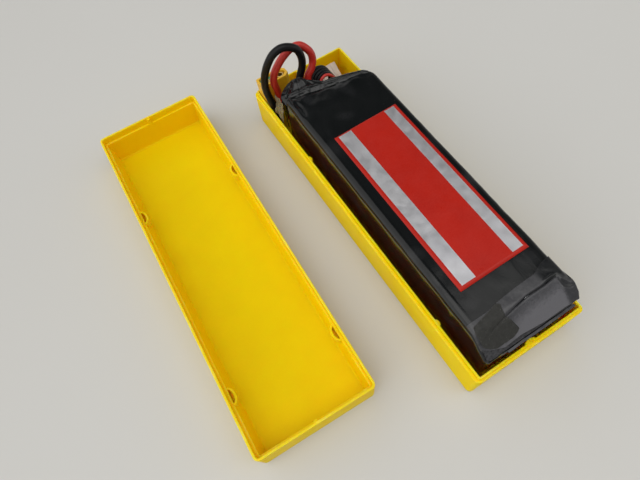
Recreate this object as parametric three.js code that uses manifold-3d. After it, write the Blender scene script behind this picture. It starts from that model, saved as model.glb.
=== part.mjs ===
import * as THREE from "three";
import { mergeVertices } from "three/addons/utils/BufferGeometryUtils.js";
import Module from "manifold-3d";

const wasm = await Module();
wasm.setup();

// Two-part snap case for a battery pack, with the pack lying in the base tray.
// Millimetres, X across the case, Y along it, Z up, origin under the middle of the base tray.

// Battery pack in its sleeve, as long as its shorter side
const PACK_WIDTH = 50;
const PACK_LENGTH = 155;
const PACK_HEIGHT = 38.1;
const PACK_EDGE = 3.2;
const PACK_CORNER = 2.5;
const SLEEVE_WALL = 0.5;
const NEAR_SLOPE_LONG = 12;
const NEAR_SLOPE_DROP = 9.6;
const NEAR_FOOT = 3;
const FAR_ROUND = 4;
const FAR_FOOT = 2;
const FAR_SLANT = 10.6;

// Room round the pack in the base tray
const LEFT_ROOM = 3.6;
const RIGHT_ROOM = 2;
const NEAR_ROOM = 1.8;
const LEAD_BAY = 36;
const HEAD_ROOM = 1.1;
const REST_GAP = 0.3;

// Case, both halves
const CORNER_RADIUS = 2.4;
const INNER_CORNER = 0.6;
const FOOT_EDGE = 0.8;
const FLOOR = 2;
const LIP_CLEAR = 0.2;
const CUT_SPARE = 1;

// Base tray
const BASE_HEIGHT = 22.4;
const LIP_HEIGHT = 2.2;
const LIP_THICKNESS = 0.9;

// Cover tray
const RIM_WALL = 1.1;
const COVER_WALL = 2.3;
const COVER_DRAFT = 1;
const REBATE_SPARE = 1.8;
const COVER_APART = 32.4;
const COVER_AHEAD = 24.1;
const COVER_TURN = -0.0316;

// Snap features
const SNAP_SHARES = [0.2, -0.345];
const NUB_HALF = 1.7;
const NUB_DEEP = 1;
const NUB_TALL = 3.4;
const BOSS_HALF = 4.4;
const BOSS_DEEP = 2.6;
const BOSS_TALL = 10;
const SOCKET_WALL = 1.1;
const SOCKET_DEEP = 5;
const RIB_TIP_SHARE = 0.05;
const PEG_RADIUS = 1.2;
const PEG_LAND = 0.4;
const NOTCH_CLEAR = 0.3;
const BACKING_HALF = 2.8;
const BACKING_DEEP = 1.3;
const BACKING_TALL = 6;

// Mouth of the sleeve where the leads leave
const MOUTH_WIDE = 26;
const MOUTH_TALL = 20;
const MOUTH_SIDE = 8.3;
const MOUTH_DROP = 5.4;

// Pouch cells
const CELL_COUNT = 4;
const CELL_SIDE_ROOM = 2;
const CELL_EDGE = 3;
const CELL_FAR_GAP = 10.6;
const CELL_NEAR_GAP = 12.6;
const CELL_FLANGE_LONG = 3.6;
const CELL_FLANGE_THICK = 1.2;
const CELL_TAB_WIDE = 9;
const CELL_TAB_LONG = 3;
const CELL_TAB_THICK = 0.6;
const CELL_TAB_SIDE = 12;

// End pad, end board
const PAD_DEEP = 10;
const BOARD_SIDE_ROOM = 5;
const BOARD_EDGE_ROOM = 4.5;
const BOARD_THICK = 1.6;
const BOARD_GAP = 1.6;

// Label and tape
const LABEL_WIDE = 37.4;
const LABEL_LONG = 97.8;
const LABEL_SIDE = 1.6;
const LABEL_NEAR_GAP = 29.2;
const LABEL_THICK = 0.3;
const TAPE_WIDE = 13.6;
const TAPE_ON_TOP = 5.5;
const TAPE_ON_SLOPE = 9;
const TAPE_THICK = 0.3;
const TAPE_SIDE = -13;

// Boot where the leads leave, its plan as shares of its width and length
const BOOT_SIDE = -24.4;
const BOOT_WIDE = 20.6;
const BOOT_LONG = 18.2;
const BOOT_TALL = 22.9;
const BOOT_DROP = 0.5;
const BOOT_EDGE = 3.5;
const BOOT_WALL = 0.8;
const BOOT_FAR_DROP = 2.6;
const BOOT_SLOPE_SHARE = 0.6;
const BOOT_PLAN_SHARES = [
  [0, 0],
  [1, 0],
  [1, 0.56],
  [0.78, 0.78],
  [0.65, 0.99],
  [0.4, 1],
  [0.16, 0.89],
  [0, 0.67],
];
const BOOT_DOOR_WIDE = 10.6;
const BOOT_DOOR_LONG = 12;
const BOOT_DOOR_SILL = 6;
const WIRE_PASSAGE_WIDE = 3.6;
const WIRE_PASSAGE_TALL = 10.4;

// Main leads
const LEAD_DIAMETER = 4.1;
const LEAD_SIDES = 10;
const LEAD_STEPS = 56;

// Balance wires
const WIRE_DIAMETER = 1.4;
const WIRE_COUNT = 5;
const WIRE_SIDES = 8;
const WIRE_STEPS = 40;

// Main connector, standing at the far left corner and leaning back on the lip
const PLUG_SIDE_GAP = 0.4;
const PLUG_BACK_GAP = 0.4;
const PLUG_ABOVE_LIP = 8.8;
const PLUG_LEAN = 0.175;
const PLUG_WIDE = 17.6;
const PLUG_DEEP = 8.8;
const PLUG_TALL = 17;
const PLUG_EDGE = 0.8;
const PLUG_CHAMFER = 2.4;
const PLUG_RECESS_WALL = 1.2;
const PLUG_RECESS_DEEP = 4;
const CONTACT_SIDE = 4.4;
const CONTACT_RADIUS = 2.3;
const CONTACT_BORE = 1.6;
const CONTACT_BORE_DEEP = 9;
const CONTACT_BELOW = 3.4;
const CUP_RADIUS = 2.75;
const CUP_CLEAR = 0.25;
const CUP_DEEP = 2.6;
const INSERT_TALL = 2.6;

// Balance plug, leaning with its mating end up against the far wall
const BALANCE_SIDE_GAP = 5.5;
const BALANCE_BACK_GAP = 0.3;
const BALANCE_ABOVE_FLOOR = 8.3;
const BALANCE_LEAN = 0.54;
const BALANCE_WIDE = 13.2;
const BALANCE_THICK = 5.6;
const BALANCE_LONG = 10;
const BALANCE_PITCH = 2.5;
const BALANCE_HOLE = 2;
const BALANCE_EDGE = 0.5;
const BALANCE_ENTRY = 2.4;
const BALANCE_RAIL_WIDE = 1.2;
const BALANCE_RAIL_TALL = 0.5;
const BALANCE_RAIL_SIDE = 3.7;

// Facets, and the distance within which two vertices are one
const ARC_STEPS = 5;
const ROUND_SIDES = 20;
const SMALL_SIDES = 16;
const MERGE_WITHIN = 1e-5;

// Sizes that follow from the ones above
const LIP_INSET = RIM_WALL + LIP_CLEAR;
const BASE_WALL = LIP_INSET + LIP_THICKNESS;
const REBATE_DEPTH = LIP_HEIGHT + REBATE_SPARE;
const INNER_WIDTH = LEFT_ROOM + PACK_WIDTH + RIGHT_ROOM;
const INNER_LENGTH = NEAR_ROOM + PACK_LENGTH + LEAD_BAY;
const CASE_WIDTH = INNER_WIDTH + 2 * BASE_WALL;
const CASE_LENGTH = INNER_LENGTH + 2 * BASE_WALL;
const COVER_HEIGHT = FLOOR + PACK_HEIGHT + HEAD_ROOM + FLOOR - BASE_HEIGHT;
const BASE_TOP = BASE_HEIGHT + LIP_HEIGHT;
const PACK_X = (LEFT_ROOM - RIGHT_ROOM) / 2;
const PACK_NEAR_Y = NEAR_ROOM - INNER_LENGTH / 2;
const PACK_FAR_Y = PACK_NEAR_Y + PACK_LENGTH;
const PACK_MIDDLE_Y = PACK_NEAR_Y + PACK_LENGTH / 2;
const PACK_LOW = FLOOR + REST_GAP;
const PACK_TOP = PACK_LOW + PACK_HEIGHT;
const PACK_MIDDLE_Z = PACK_LOW + PACK_HEIGHT / 2;
const CELL_WIDTH = PACK_WIDTH - 2 * (SLEEVE_WALL + CELL_SIDE_ROOM);
const CELL_FAR_Y = PACK_FAR_Y - CELL_FAR_GAP;
const BOOT_LEFT = PACK_X + BOOT_SIDE;
const BOOT_RIGHT = BOOT_LEFT + BOOT_WIDE;
const BOOT_HIGH = PACK_TOP - BOOT_DROP;
const BOOT_LOW = BOOT_HIGH - BOOT_TALL;
const PLUG_X = PLUG_SIDE_GAP + PLUG_WIDE / 2 - INNER_WIDTH / 2;
const PLUG_TOP_Z = BASE_TOP + PLUG_ABOVE_LIP;
const PLUG_HALF_ACROSS = PLUG_DEEP / 2 / Math.cos(PLUG_LEAN);
const PLUG_LIP_Y = INNER_LENGTH / 2 - PLUG_BACK_GAP - PLUG_HALF_ACROSS;
const PLUG_TOP_Y = PLUG_LIP_Y + PLUG_ABOVE_LIP * Math.tan(PLUG_LEAN);
const BALANCE_X = INNER_WIDTH / 2 - BALANCE_SIDE_GAP - BALANCE_WIDE / 2;
const BALANCE_REACH = (BALANCE_LONG * Math.cos(BALANCE_LEAN) + BALANCE_THICK * Math.sin(BALANCE_LEAN)) / 2;
const BALANCE_RISE = (BALANCE_LONG * Math.sin(BALANCE_LEAN) + BALANCE_THICK * Math.cos(BALANCE_LEAN)) / 2;
const BALANCE_Y = INNER_LENGTH / 2 - BALANCE_BACK_GAP - BALANCE_REACH;
const BALANCE_Z = FLOOR + BALANCE_ABOVE_FLOOR + BALANCE_RISE;

// Routes of the two main leads, from the end board over the loop and down to the connector,
// with Y counted from the far end of the pack
const LEAD_BLACK_ROUTE = [
  [-16.0, -1.2, 25.5], [-15.6, 5.6, 26.5], [-13.4, 11.1, 29.6], [-10.9, 15.2, 34.2],
  [-8.8, 17.6, 39.6], [-6.4, 17.6, 46.5], [-6.2, 17.6, 52.6], [-8.3, 17.8, 58.8],
  [-12.1, 18.2, 62.0], [-16.1, 18.8, 63.0], [-20.4, 19.6, 61.1], [-23.7, 20.6, 56.3],
  [-26.4, 21.8, 49.1], [-27.4, 22.8, 41.4], [-27.1, 23.4, 34.3], [-26.2, 23.0, 28.6],
  [-25.3, 22.0, 23.0], [-25.0, 21.2, 17.4], [-24.9, 20.9, 12.0], [-24.5, 21.9, 8.2],
  [-23.9, 24.6, 6.7], [-23.4, 27.5, 8.1], [-23.1, 28.7, 11.2], [-23.0, 29.1, 14.3],
];
const LEAD_RED_ROUTE = [
  [-10.2, -1.2, 25.5], [-10.0, 5.6, 26.3], [-8.2, 10.6, 28.6], [-5.8, 15.0, 32.6],
  [-3.9, 17.6, 37.5], [-0.9, 18.2, 40.8], [0.8, 19.0, 44.6], [0.7, 19.9, 49.3], [-1.4, 20.9, 53.2],
  [-4.4, 22.0, 55.9], [-9.0, 22.6, 56.0], [-13.9, 22.9, 53.1], [-17.9, 23.1, 49.0],
  [-20.8, 23.4, 44.2], [-21.8, 23.6, 38.9], [-20.9, 23.8, 32.7], [-20.3, 23.6, 28.1],
  [-19.4, 22.6, 22.6], [-18.4, 21.6, 17.2], [-17.4, 21.0, 12.0], [-16.6, 21.9, 8.2],
  [-15.6, 24.6, 6.7], [-14.8, 27.5, 8.1], [-14.3, 28.7, 11.2], [-14.2, 29.1, 14.3],
];

// Middle line of the flat ribbon of balance wires, with Y counted from the far end of the pack,
// then its heading at each point as a share of a turn, and the spacing of the wires there
const RIBBON_ROUTE = [
  [-1.6, -1.2, 23.5], [-1.6, 5.0, 23.5], [-1.6, 9.2, 24.4], [-1.4, 12.8, 27.5], [-0.8, 15.4, 31.2],
  [1.0, 17.0, 34.2], [4.2, 17.6, 35.5], [7.4, 17.7, 34.2], [10.0, 17.7, 31.0], [11.9, 17.7, 27.0],
  [13.2, 17.6, 23.0], [14.1, 17.5, 19.0], [14.7, 17.6, 15.6], [15.0, 18.4, 13.0], [15.3, 20.1, 11.4],
  [15.6, 22.2, 11.1], [15.7, 24.2, 11.8], [15.7, 25.9, 12.8],
];
const RIBBON_HEADING_SHARES = [
  0.25, 0.25, 0.19, 0.12, 0.065, 0.03, 0.01, 0, 0, 0.02, 0.08, 0.16, 0.23, 0.25, 0.25, 0.25, 0.25, 0.25,
];
const RIBBON_SPACING = [
  1.75, 1.85, 1.93, 1.93, 1.93, 1.93, 1.9, 1.9, 1.9, 1.93, 1.95, 2, 2.1, 2.25, 2.4, 2.45, 2.5, 2.5,
];

// Booleans
function toSolid(geometry) {
  const bare = new THREE.BufferGeometry();
  bare.setAttribute("position", geometry.getAttribute("position").clone());
  if (geometry.index) {
    bare.setIndex(geometry.index.clone());
  }
  const merged = mergeVertices(bare, MERGE_WITHIN);
  const mesh = new wasm.Mesh({
    numProp: 3,
    vertProperties: new Float32Array(merged.getAttribute("position").array),
    triVerts: new Uint32Array(merged.index.array),
  });
  return new wasm.Manifold(mesh);
}

function toGeometry(solid) {
  const mesh = solid.getMesh();
  const geometry = new THREE.BufferGeometry();
  geometry.setAttribute("position", new THREE.BufferAttribute(new Float32Array(mesh.vertProperties), 3));
  geometry.setIndex(new THREE.BufferAttribute(new Uint32Array(mesh.triVerts), 1));
  return geometry;
}

function moved(geometry, x, y, z) {
  geometry.translate(x, y, z);
  return geometry;
}

// Outlines
function roundedOutline(width, length, radius) {
  const shape = new THREE.Shape();
  const w = width / 2;
  const l = length / 2;
  const r = Math.min(radius, w, l);
  shape.moveTo(-w + r, -l);
  shape.lineTo(w - r, -l);
  shape.absarc(w - r, -l + r, r, -Math.PI / 2, 0, false);
  shape.lineTo(w, l - r);
  shape.absarc(w - r, l - r, r, 0, Math.PI / 2, false);
  shape.lineTo(-w + r, l);
  shape.absarc(-w + r, l - r, r, Math.PI / 2, Math.PI, false);
  shape.lineTo(-w, -l + r);
  shape.absarc(-w + r, -l + r, r, Math.PI, Math.PI * 1.5, false);
  return shape;
}

function outlineOf(points) {
  const shape = new THREE.Shape();
  points.forEach(([u, v], index) => {
    if (index === 0) {
      shape.moveTo(u, v);
    } else {
      shape.lineTo(u, v);
    }
  });
  shape.closePath();
  return shape;
}

function prism(shape, low, high) {
  const geometry = new THREE.ExtrudeGeometry(shape, {
    depth: high - low,
    bevelEnabled: false,
    curveSegments: ARC_STEPS,
  });
  geometry.translate(0, 0, low);
  return geometry;
}

function roundedPrism(width, length, radius, low, high) {
  return prism(roundedOutline(width, length, radius), low, high);
}

// Prism whose outline lies in the YZ plane, from one X to another
function sidePrism(shape, left, right) {
  const geometry = prism(shape, left, right);
  geometry.applyMatrix4(new THREE.Matrix4().set(0, 0, 1, 0, 1, 0, 0, 0, 0, 1, 0, 0, 0, 0, 0, 1));
  return geometry;
}

// Prism whose outline lies in the XZ plane, from one Y to another
function frontPrism(shape, near, far) {
  const geometry = prism(shape, -far, -near);
  geometry.applyMatrix4(new THREE.Matrix4().set(1, 0, 0, 0, 0, 0, -1, 0, 0, 1, 0, 0, 0, 0, 0, 1));
  return geometry;
}

function block(left, right, near, far, low, high) {
  const geometry = new THREE.BoxGeometry(right - left, far - near, high - low);
  return moved(geometry, (left + right) / 2, (near + far) / 2, (low + high) / 2);
}

// Upright round bar or cone
function upright(topRadius, bottomRadius, low, high, sides) {
  const geometry = new THREE.CylinderGeometry(topRadius, bottomRadius, high - low, sides);
  geometry.rotateX(Math.PI / 2);
  return moved(geometry, 0, 0, (low + high) / 2);
}

// Corner radius of a wall face that lies a wall's thickness inside the outer one
function innerCorner(wall) {
  return Math.max(CORNER_RADIUS - wall, INNER_CORNER);
}

// Hollow that narrows by the draft on every side from its mouth down to its floor
function draftedHollow(width, length, radius, low, high, draft) {
  const geometry = roundedPrism(width, length, radius, low, high);
  const position = geometry.getAttribute("position");
  const middle = (low + high) / 2;
  for (let index = 0; index < position.count; index += 1) {
    if (position.getZ(index) < middle) {
      position.setX(index, (position.getX(index) * (width - 2 * draft)) / width);
      position.setY(index, (position.getY(index) * (length - 2 * draft)) / length);
    }
  }
  return geometry;
}

// Outer block of a tray with an eased edge round the foot
function trayBlock(height) {
  const shape = roundedOutline(
    CASE_WIDTH - 2 * FOOT_EDGE,
    CASE_LENGTH - 2 * FOOT_EDGE,
    innerCorner(FOOT_EDGE)
  );
  const geometry = new THREE.ExtrudeGeometry(shape, {
    depth: height,
    bevelEnabled: true,
    bevelThickness: FOOT_EDGE,
    bevelSize: FOOT_EDGE,
    bevelSegments: 2,
    curveSegments: ARC_STEPS,
  });
  geometry.translate(0, 0, FOOT_EDGE);
  const reach = 2 * FOOT_EDGE + CUT_SPARE;
  const lid = block(-CASE_WIDTH, CASE_WIDTH, -CASE_LENGTH, CASE_LENGTH, height, height + reach);
  return toSolid(geometry).subtract(toSolid(lid));
}

// Half-round rib on a wall face, tapering to nothing below
function taperedRib(halfWide, deep, low, straightLow, high, sides) {
  const body = upright(halfWide, halfWide, straightLow, high, sides);
  const foot = upright(halfWide, halfWide * RIB_TIP_SHARE, low, straightLow, sides);
  body.scale(deep / halfWide, 1, 1);
  foot.scale(deep / halfWide, 1, 1);
  return [body, foot];
}

function addRibs(solid, ribs) {
  return ribs.reduce((sum, rib) => sum.add(toSolid(rib)), solid);
}

const SIDES = [-1, 1];
const LONG_SNAPS = SIDES.flatMap((side) => SNAP_SHARES.map((share) => [side, share * CASE_LENGTH]));

// Base tray: wall, floor, set-in lip, nubs under the lip and a notch at the middle of each end
function baseTray() {
  const top = BASE_TOP;
  const lipWidth = CASE_WIDTH - 2 * LIP_INSET;
  const lipLength = CASE_LENGTH - 2 * LIP_INSET;
  const lip = roundedPrism(lipWidth, lipLength, innerCorner(LIP_INSET), FLOOR, top);
  const envelope = trayBlock(BASE_HEIGHT).add(toSolid(lip));
  const cavity = roundedPrism(INNER_WIDTH, INNER_LENGTH, innerCorner(BASE_WALL), FLOOR, top + CUT_SPARE);
  const ribs = [];
  LONG_SNAPS.forEach(([side, y]) => {
    const pair = taperedRib(NUB_HALF, NUB_DEEP, top - NUB_TALL - NUB_DEEP, top - NUB_TALL, top, SMALL_SIDES);
    pair.forEach((rib) => ribs.push(moved(rib, (side * INNER_WIDTH) / 2, y, 0)));
  });
  SIDES.forEach((side) => {
    const low = top - BACKING_TALL;
    const pair = taperedRib(BACKING_HALF, BACKING_DEEP, low - BACKING_DEEP, low, top, SMALL_SIDES);
    pair.forEach((rib) => {
      rib.rotateZ(Math.PI / 2);
      ribs.push(moved(rib, 0, (side * INNER_LENGTH) / 2, 0));
    });
  });
  let tray = addRibs(envelope.subtract(toSolid(cavity)), ribs).intersect(envelope);
  SIDES.forEach((side) => {
    const radius = PEG_RADIUS + NOTCH_CLEAR;
    const notch = upright(radius, radius, BASE_HEIGHT, top + CUT_SPARE, SMALL_SIDES);
    tray = tray.subtract(toSolid(moved(notch, 0, side * (CASE_LENGTH / 2 - RIM_WALL), 0)));
  });
  return tray;
}

// Cover tray: rim wall, rebate with its ledge, socketed half-round bosses and end pegs
function coverTray() {
  const ledge = COVER_HEIGHT - REBATE_DEPTH;
  const envelope = trayBlock(COVER_HEIGHT);
  const innerWidth = CASE_WIDTH - 2 * COVER_WALL;
  const innerLength = CASE_LENGTH - 2 * COVER_WALL;
  const rimWidth = CASE_WIDTH - 2 * RIM_WALL;
  const rimLength = CASE_LENGTH - 2 * RIM_WALL;
  const above = COVER_HEIGHT + CUT_SPARE;
  const radius = innerCorner(COVER_WALL);
  const room = roundedPrism(innerWidth, innerLength, radius, FLOOR, above);
  const cavity = draftedHollow(innerWidth, innerLength, radius, FLOOR, ledge + CUT_SPARE, COVER_DRAFT);
  const rebate = roundedPrism(rimWidth, rimLength, innerCorner(RIM_WALL), ledge, above);
  const ribs = [];
  LONG_SNAPS.forEach(([side, y]) => {
    const low = ledge - BOSS_TALL;
    const pair = taperedRib(BOSS_HALF, BOSS_DEEP, low, ledge - SOCKET_DEEP, ledge, ROUND_SIDES);
    pair.forEach((rib) => ribs.push(moved(rib, (side * innerWidth) / 2, y, 0)));
  });
  SIDES.forEach((side) => {
    const peg = upright(PEG_RADIUS, PEG_RADIUS, ledge - REST_GAP, COVER_HEIGHT - PEG_LAND, SMALL_SIDES);
    ribs.push(moved(peg, 0, (side * rimLength) / 2, 0));
  });
  const shell = envelope.subtract(toSolid(cavity)).subtract(toSolid(rebate));
  let tray = addRibs(shell, ribs).intersect(envelope);
  LONG_SNAPS.forEach(([side, y]) => {
    const half = BOSS_HALF - SOCKET_WALL;
    const socket = upright(half, half, ledge - SOCKET_DEEP + SOCKET_WALL, ledge + CUT_SPARE, ROUND_SIDES);
    socket.scale((BOSS_DEEP - SOCKET_WALL) / half, 1, 1);
    moved(socket, (side * innerWidth) / 2, y, 0);
    tray = tray.subtract(toSolid(socket).intersect(toSolid(room)));
  });
  return tray;
}

// The far end reaches further on the left, so what lies beyond the middle slides along the pack
function farSlant(x) {
  return (FAR_SLANT * (PACK_X + PACK_WIDTH / 2 - x)) / PACK_WIDTH;
}

function slanted(geometry) {
  const position = geometry.getAttribute("position");
  for (let index = 0; index < position.count; index += 1) {
    if (position.getY(index) > PACK_MIDDLE_Y) {
      position.setY(index, position.getY(index) + farSlant(position.getX(index)));
    }
  }
  return geometry;
}

// Pack in its sleeve with a square far end: rounded long edges, sloped near end, eased far end
function squarePack() {
  const front = frontPrism(
    roundedOutline(PACK_WIDTH, PACK_HEIGHT, PACK_EDGE),
    PACK_NEAR_Y,
    PACK_FAR_Y
  );
  front.translate(PACK_X, 0, PACK_MIDDLE_Z);
  const side = new THREE.Shape();
  side.moveTo(PACK_NEAR_Y + NEAR_FOOT, PACK_LOW);
  side.lineTo(PACK_FAR_Y - FAR_FOOT, PACK_LOW);
  side.lineTo(PACK_FAR_Y, PACK_LOW + FAR_FOOT);
  side.lineTo(PACK_FAR_Y, PACK_TOP - FAR_ROUND);
  side.absarc(PACK_FAR_Y - FAR_ROUND, PACK_TOP - FAR_ROUND, FAR_ROUND, 0, Math.PI / 2, false);
  side.lineTo(PACK_NEAR_Y + NEAR_SLOPE_LONG, PACK_TOP);
  side.lineTo(PACK_NEAR_Y, PACK_TOP - NEAR_SLOPE_DROP);
  side.lineTo(PACK_NEAR_Y, PACK_LOW + NEAR_FOOT);
  side.closePath();
  const profile = sidePrism(side, PACK_X - PACK_WIDTH, PACK_X + PACK_WIDTH);
  const below = PACK_LOW - CUT_SPARE;
  const above = PACK_TOP + CUT_SPARE;
  const plan = roundedPrism(PACK_WIDTH, PACK_LENGTH, PACK_CORNER, below, above);
  plan.translate(PACK_X, PACK_MIDDLE_Y, 0);
  return toSolid(front).intersect(toSolid(profile)).intersect(toSolid(plan));
}

function packBody() {
  return toSolid(slanted(toGeometry(squarePack())));
}

// The same body drawn in by a wall all round
function packInside(wall) {
  const geometry = toGeometry(squarePack());
  geometry.translate(-PACK_X, -PACK_MIDDLE_Y, -PACK_MIDDLE_Z);
  geometry.scale(
    (PACK_WIDTH - 2 * wall) / PACK_WIDTH,
    (PACK_LENGTH - 2 * wall) / PACK_LENGTH,
    (PACK_HEIGHT - 2 * wall) / PACK_HEIGHT
  );
  geometry.translate(PACK_X, PACK_MIDDLE_Y, PACK_MIDDLE_Z);
  return toSolid(slanted(geometry));
}

function sleeve() {
  const mouth = frontPrism(
    roundedOutline(MOUTH_WIDE, MOUTH_TALL, PACK_EDGE),
    PACK_FAR_Y - FAR_ROUND,
    PACK_FAR_Y + FAR_SLANT + CUT_SPARE
  );
  mouth.translate(PACK_X - MOUTH_SIDE, 0, PACK_TOP - MOUTH_DROP - MOUTH_TALL / 2);
  return packBody().subtract(packInside(SLEEVE_WALL)).subtract(toSolid(mouth));
}

// One pouch cell with its sealed flange and the two tabs folded out of it
function pouchCell(thick) {
  const near = PACK_NEAR_Y + CELL_NEAR_GAP;
  const body = frontPrism(roundedOutline(CELL_WIDTH, thick, CELL_EDGE), near, CELL_FAR_Y);
  const flange = block(
    -CELL_WIDTH / 2 + CELL_EDGE,
    CELL_WIDTH / 2 - CELL_EDGE,
    CELL_FAR_Y - CUT_SPARE,
    CELL_FAR_Y + CELL_FLANGE_LONG,
    -CELL_FLANGE_THICK / 2,
    CELL_FLANGE_THICK / 2
  );
  let cell = toSolid(body).add(toSolid(flange));
  SIDES.forEach((side) => {
    const tab = block(
      side * CELL_TAB_SIDE - CELL_TAB_WIDE / 2,
      side * CELL_TAB_SIDE + CELL_TAB_WIDE / 2,
      CELL_FAR_Y + CELL_FLANGE_LONG - CUT_SPARE,
      CELL_FAR_Y + CELL_FLANGE_LONG + CELL_TAB_LONG,
      -CELL_TAB_THICK / 2,
      CELL_TAB_THICK / 2
    );
    cell = cell.add(toSolid(tab));
  });
  return cell;
}

// Foam pad that fills the sloped near end of the sleeve
function endPad() {
  const room = packInside(SLEEVE_WALL + REST_GAP);
  const near = PACK_NEAR_Y + SLEEVE_WALL + REST_GAP;
  const slab = block(-CASE_WIDTH, CASE_WIDTH, near - CUT_SPARE, near + PAD_DEEP, 0, 2 * PACK_TOP);
  return room.intersect(toSolid(slab));
}

// Soft boot over the place where the leads leave, before it is cut to the pack
function bootBlock(inset) {
  const far = PACK_FAR_Y + BOOT_LONG - inset;
  const low = BOOT_LOW + inset;
  const high = BOOT_HIGH - inset;
  const wide = BOOT_WIDE - 2 * inset;
  const side = outlineOf([
    [PACK_FAR_Y, low],
    [far, low],
    [far, high - BOOT_FAR_DROP],
    [PACK_FAR_Y + BOOT_LONG * BOOT_SLOPE_SHARE, high],
    [PACK_FAR_Y, high],
  ]);
  const profile = sidePrism(side, BOOT_LEFT - CUT_SPARE, BOOT_RIGHT + CUT_SPARE);
  const section = roundedOutline(wide, high - low, BOOT_EDGE);
  const front = frontPrism(section, PACK_FAR_Y - CUT_SPARE, far + CUT_SPARE);
  front.translate((BOOT_LEFT + BOOT_RIGHT) / 2, 0, (low + high) / 2);
  const corners = BOOT_PLAN_SHARES.map(([across, along]) => [
    BOOT_LEFT + inset + across * wide,
    PACK_FAR_Y + along * (BOOT_LONG - inset),
  ]);
  const plan = prism(outlineOf(corners), low - CUT_SPARE, high + CUT_SPARE);
  return toSolid(profile).intersect(toSolid(front)).intersect(toSolid(plan));
}

// Boot open towards the pack, with a door for the leads and a passage for the thin wires
function leadBoot() {
  const left = PACK_X - CASE_WIDTH;
  const right = PACK_X + CASE_WIDTH;
  const slantedSide = outlineOf([
    [left, PACK_MIDDLE_Y],
    [right, PACK_MIDDLE_Y],
    [right, PACK_FAR_Y + farSlant(right) + REST_GAP],
    [left, PACK_FAR_Y + farSlant(left) + REST_GAP],
  ]);
  const packSide = prism(slantedSide, 0, BOOT_HIGH + CUT_SPARE);
  const door = block(
    BOOT_RIGHT - BOOT_DOOR_WIDE,
    BOOT_RIGHT + CUT_SPARE,
    PACK_FAR_Y + BOOT_LONG - BOOT_DOOR_LONG,
    PACK_FAR_Y + BOOT_LONG + CUT_SPARE,
    BOOT_LOW + BOOT_DOOR_SILL,
    BOOT_HIGH + CUT_SPARE
  );
  const passage = block(
    BOOT_RIGHT - WIRE_PASSAGE_WIDE,
    BOOT_RIGHT + CUT_SPARE,
    PACK_FAR_Y,
    PACK_FAR_Y + BOOT_LONG + CUT_SPARE,
    BOOT_LOW - CUT_SPARE,
    BOOT_LOW + WIRE_PASSAGE_TALL
  );
  return bootBlock(0)
    .subtract(toSolid(packSide))
    .subtract(bootBlock(BOOT_WALL))
    .subtract(toSolid(door))
    .subtract(toSolid(passage));
}

// Strip of tape bent over the edge between the top and the sloped near end
function bentTape() {
  const slope = Math.atan2(NEAR_SLOPE_DROP, NEAR_SLOPE_LONG);
  const edgeY = PACK_NEAR_Y + NEAR_SLOPE_LONG;
  const foot = (lift) => [
    edgeY - TAPE_ON_SLOPE * Math.cos(slope) - lift * Math.sin(slope),
    PACK_TOP - TAPE_ON_SLOPE * Math.sin(slope) + lift * Math.cos(slope),
  ];
  const bend = (lift) => [edgeY - lift * Math.tan(slope / 2), PACK_TOP + lift];
  const under = REST_GAP;
  const over = REST_GAP + TAPE_THICK;
  const strip = outlineOf([
    foot(under),
    bend(under),
    [edgeY + TAPE_ON_TOP, PACK_TOP + under],
    [edgeY + TAPE_ON_TOP, PACK_TOP + over],
    bend(over),
    foot(over),
  ]);
  const middle = PACK_X + TAPE_SIDE;
  return sidePrism(strip, middle - TAPE_WIDE / 2, middle + TAPE_WIDE / 2);
}

// Tube along a route
function cordTube(route, diameter, sides, steps) {
  const points = route.map(([x, y, z]) => new THREE.Vector3(x, PACK_FAR_Y + y, z));
  const curve = new THREE.CatmullRomCurve3(points);
  const ring = new THREE.Shape();
  for (let index = 0; index < sides; index += 1) {
    const angle = (index / sides) * Math.PI * 2;
    const u = (Math.cos(angle) * diameter) / 2;
    const v = (Math.sin(angle) * diameter) / 2;
    if (index === 0) {
      ring.moveTo(u, v);
    } else {
      ring.lineTo(u, v);
    }
  }
  ring.closePath();
  return new THREE.ExtrudeGeometry(ring, { steps, extrudePath: curve, bevelEnabled: false });
}

// One wire of the ribbon, counted from its left edge
function wireRoute(index) {
  const place = (WIRE_COUNT - 1) / 2 - index;
  return RIBBON_ROUTE.map(([x, y, z], point) => {
    const heading = RIBBON_HEADING_SHARES[point] * Math.PI * 2;
    const offset = place * RIBBON_SPACING[point];
    return [x - Math.sin(heading) * offset, y + Math.cos(heading) * offset, z];
  });
}

// Main connector, drawn upright with its mating face at zero height
function connectorOutline(wall) {
  const w = PLUG_WIDE / 2 - wall;
  const d = PLUG_DEEP / 2 - wall;
  const c = PLUG_CHAMFER;
  const e = PLUG_EDGE;
  return outlineOf([
    [-w + e, -d],
    [w - c, -d],
    [w, -d + c],
    [w, d - c],
    [w - c, d],
    [-w + e, d],
    [-w, d - e],
    [-w, -d + e],
  ]);
}

function connectorBody() {
  let body = toSolid(prism(connectorOutline(0), -PLUG_TALL, 0));
  const recess = prism(connectorOutline(PLUG_RECESS_WALL), -PLUG_RECESS_DEEP, CUT_SPARE);
  body = body.subtract(toSolid(recess));
  SIDES.forEach((side) => {
    const clear = CONTACT_RADIUS + REST_GAP;
    const hole = upright(clear, clear, -PLUG_TALL - CUT_SPARE, CUT_SPARE, ROUND_SIDES);
    body = body.subtract(toSolid(moved(hole, side * CONTACT_SIDE, 0, 0)));
  });
  return body;
}

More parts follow.
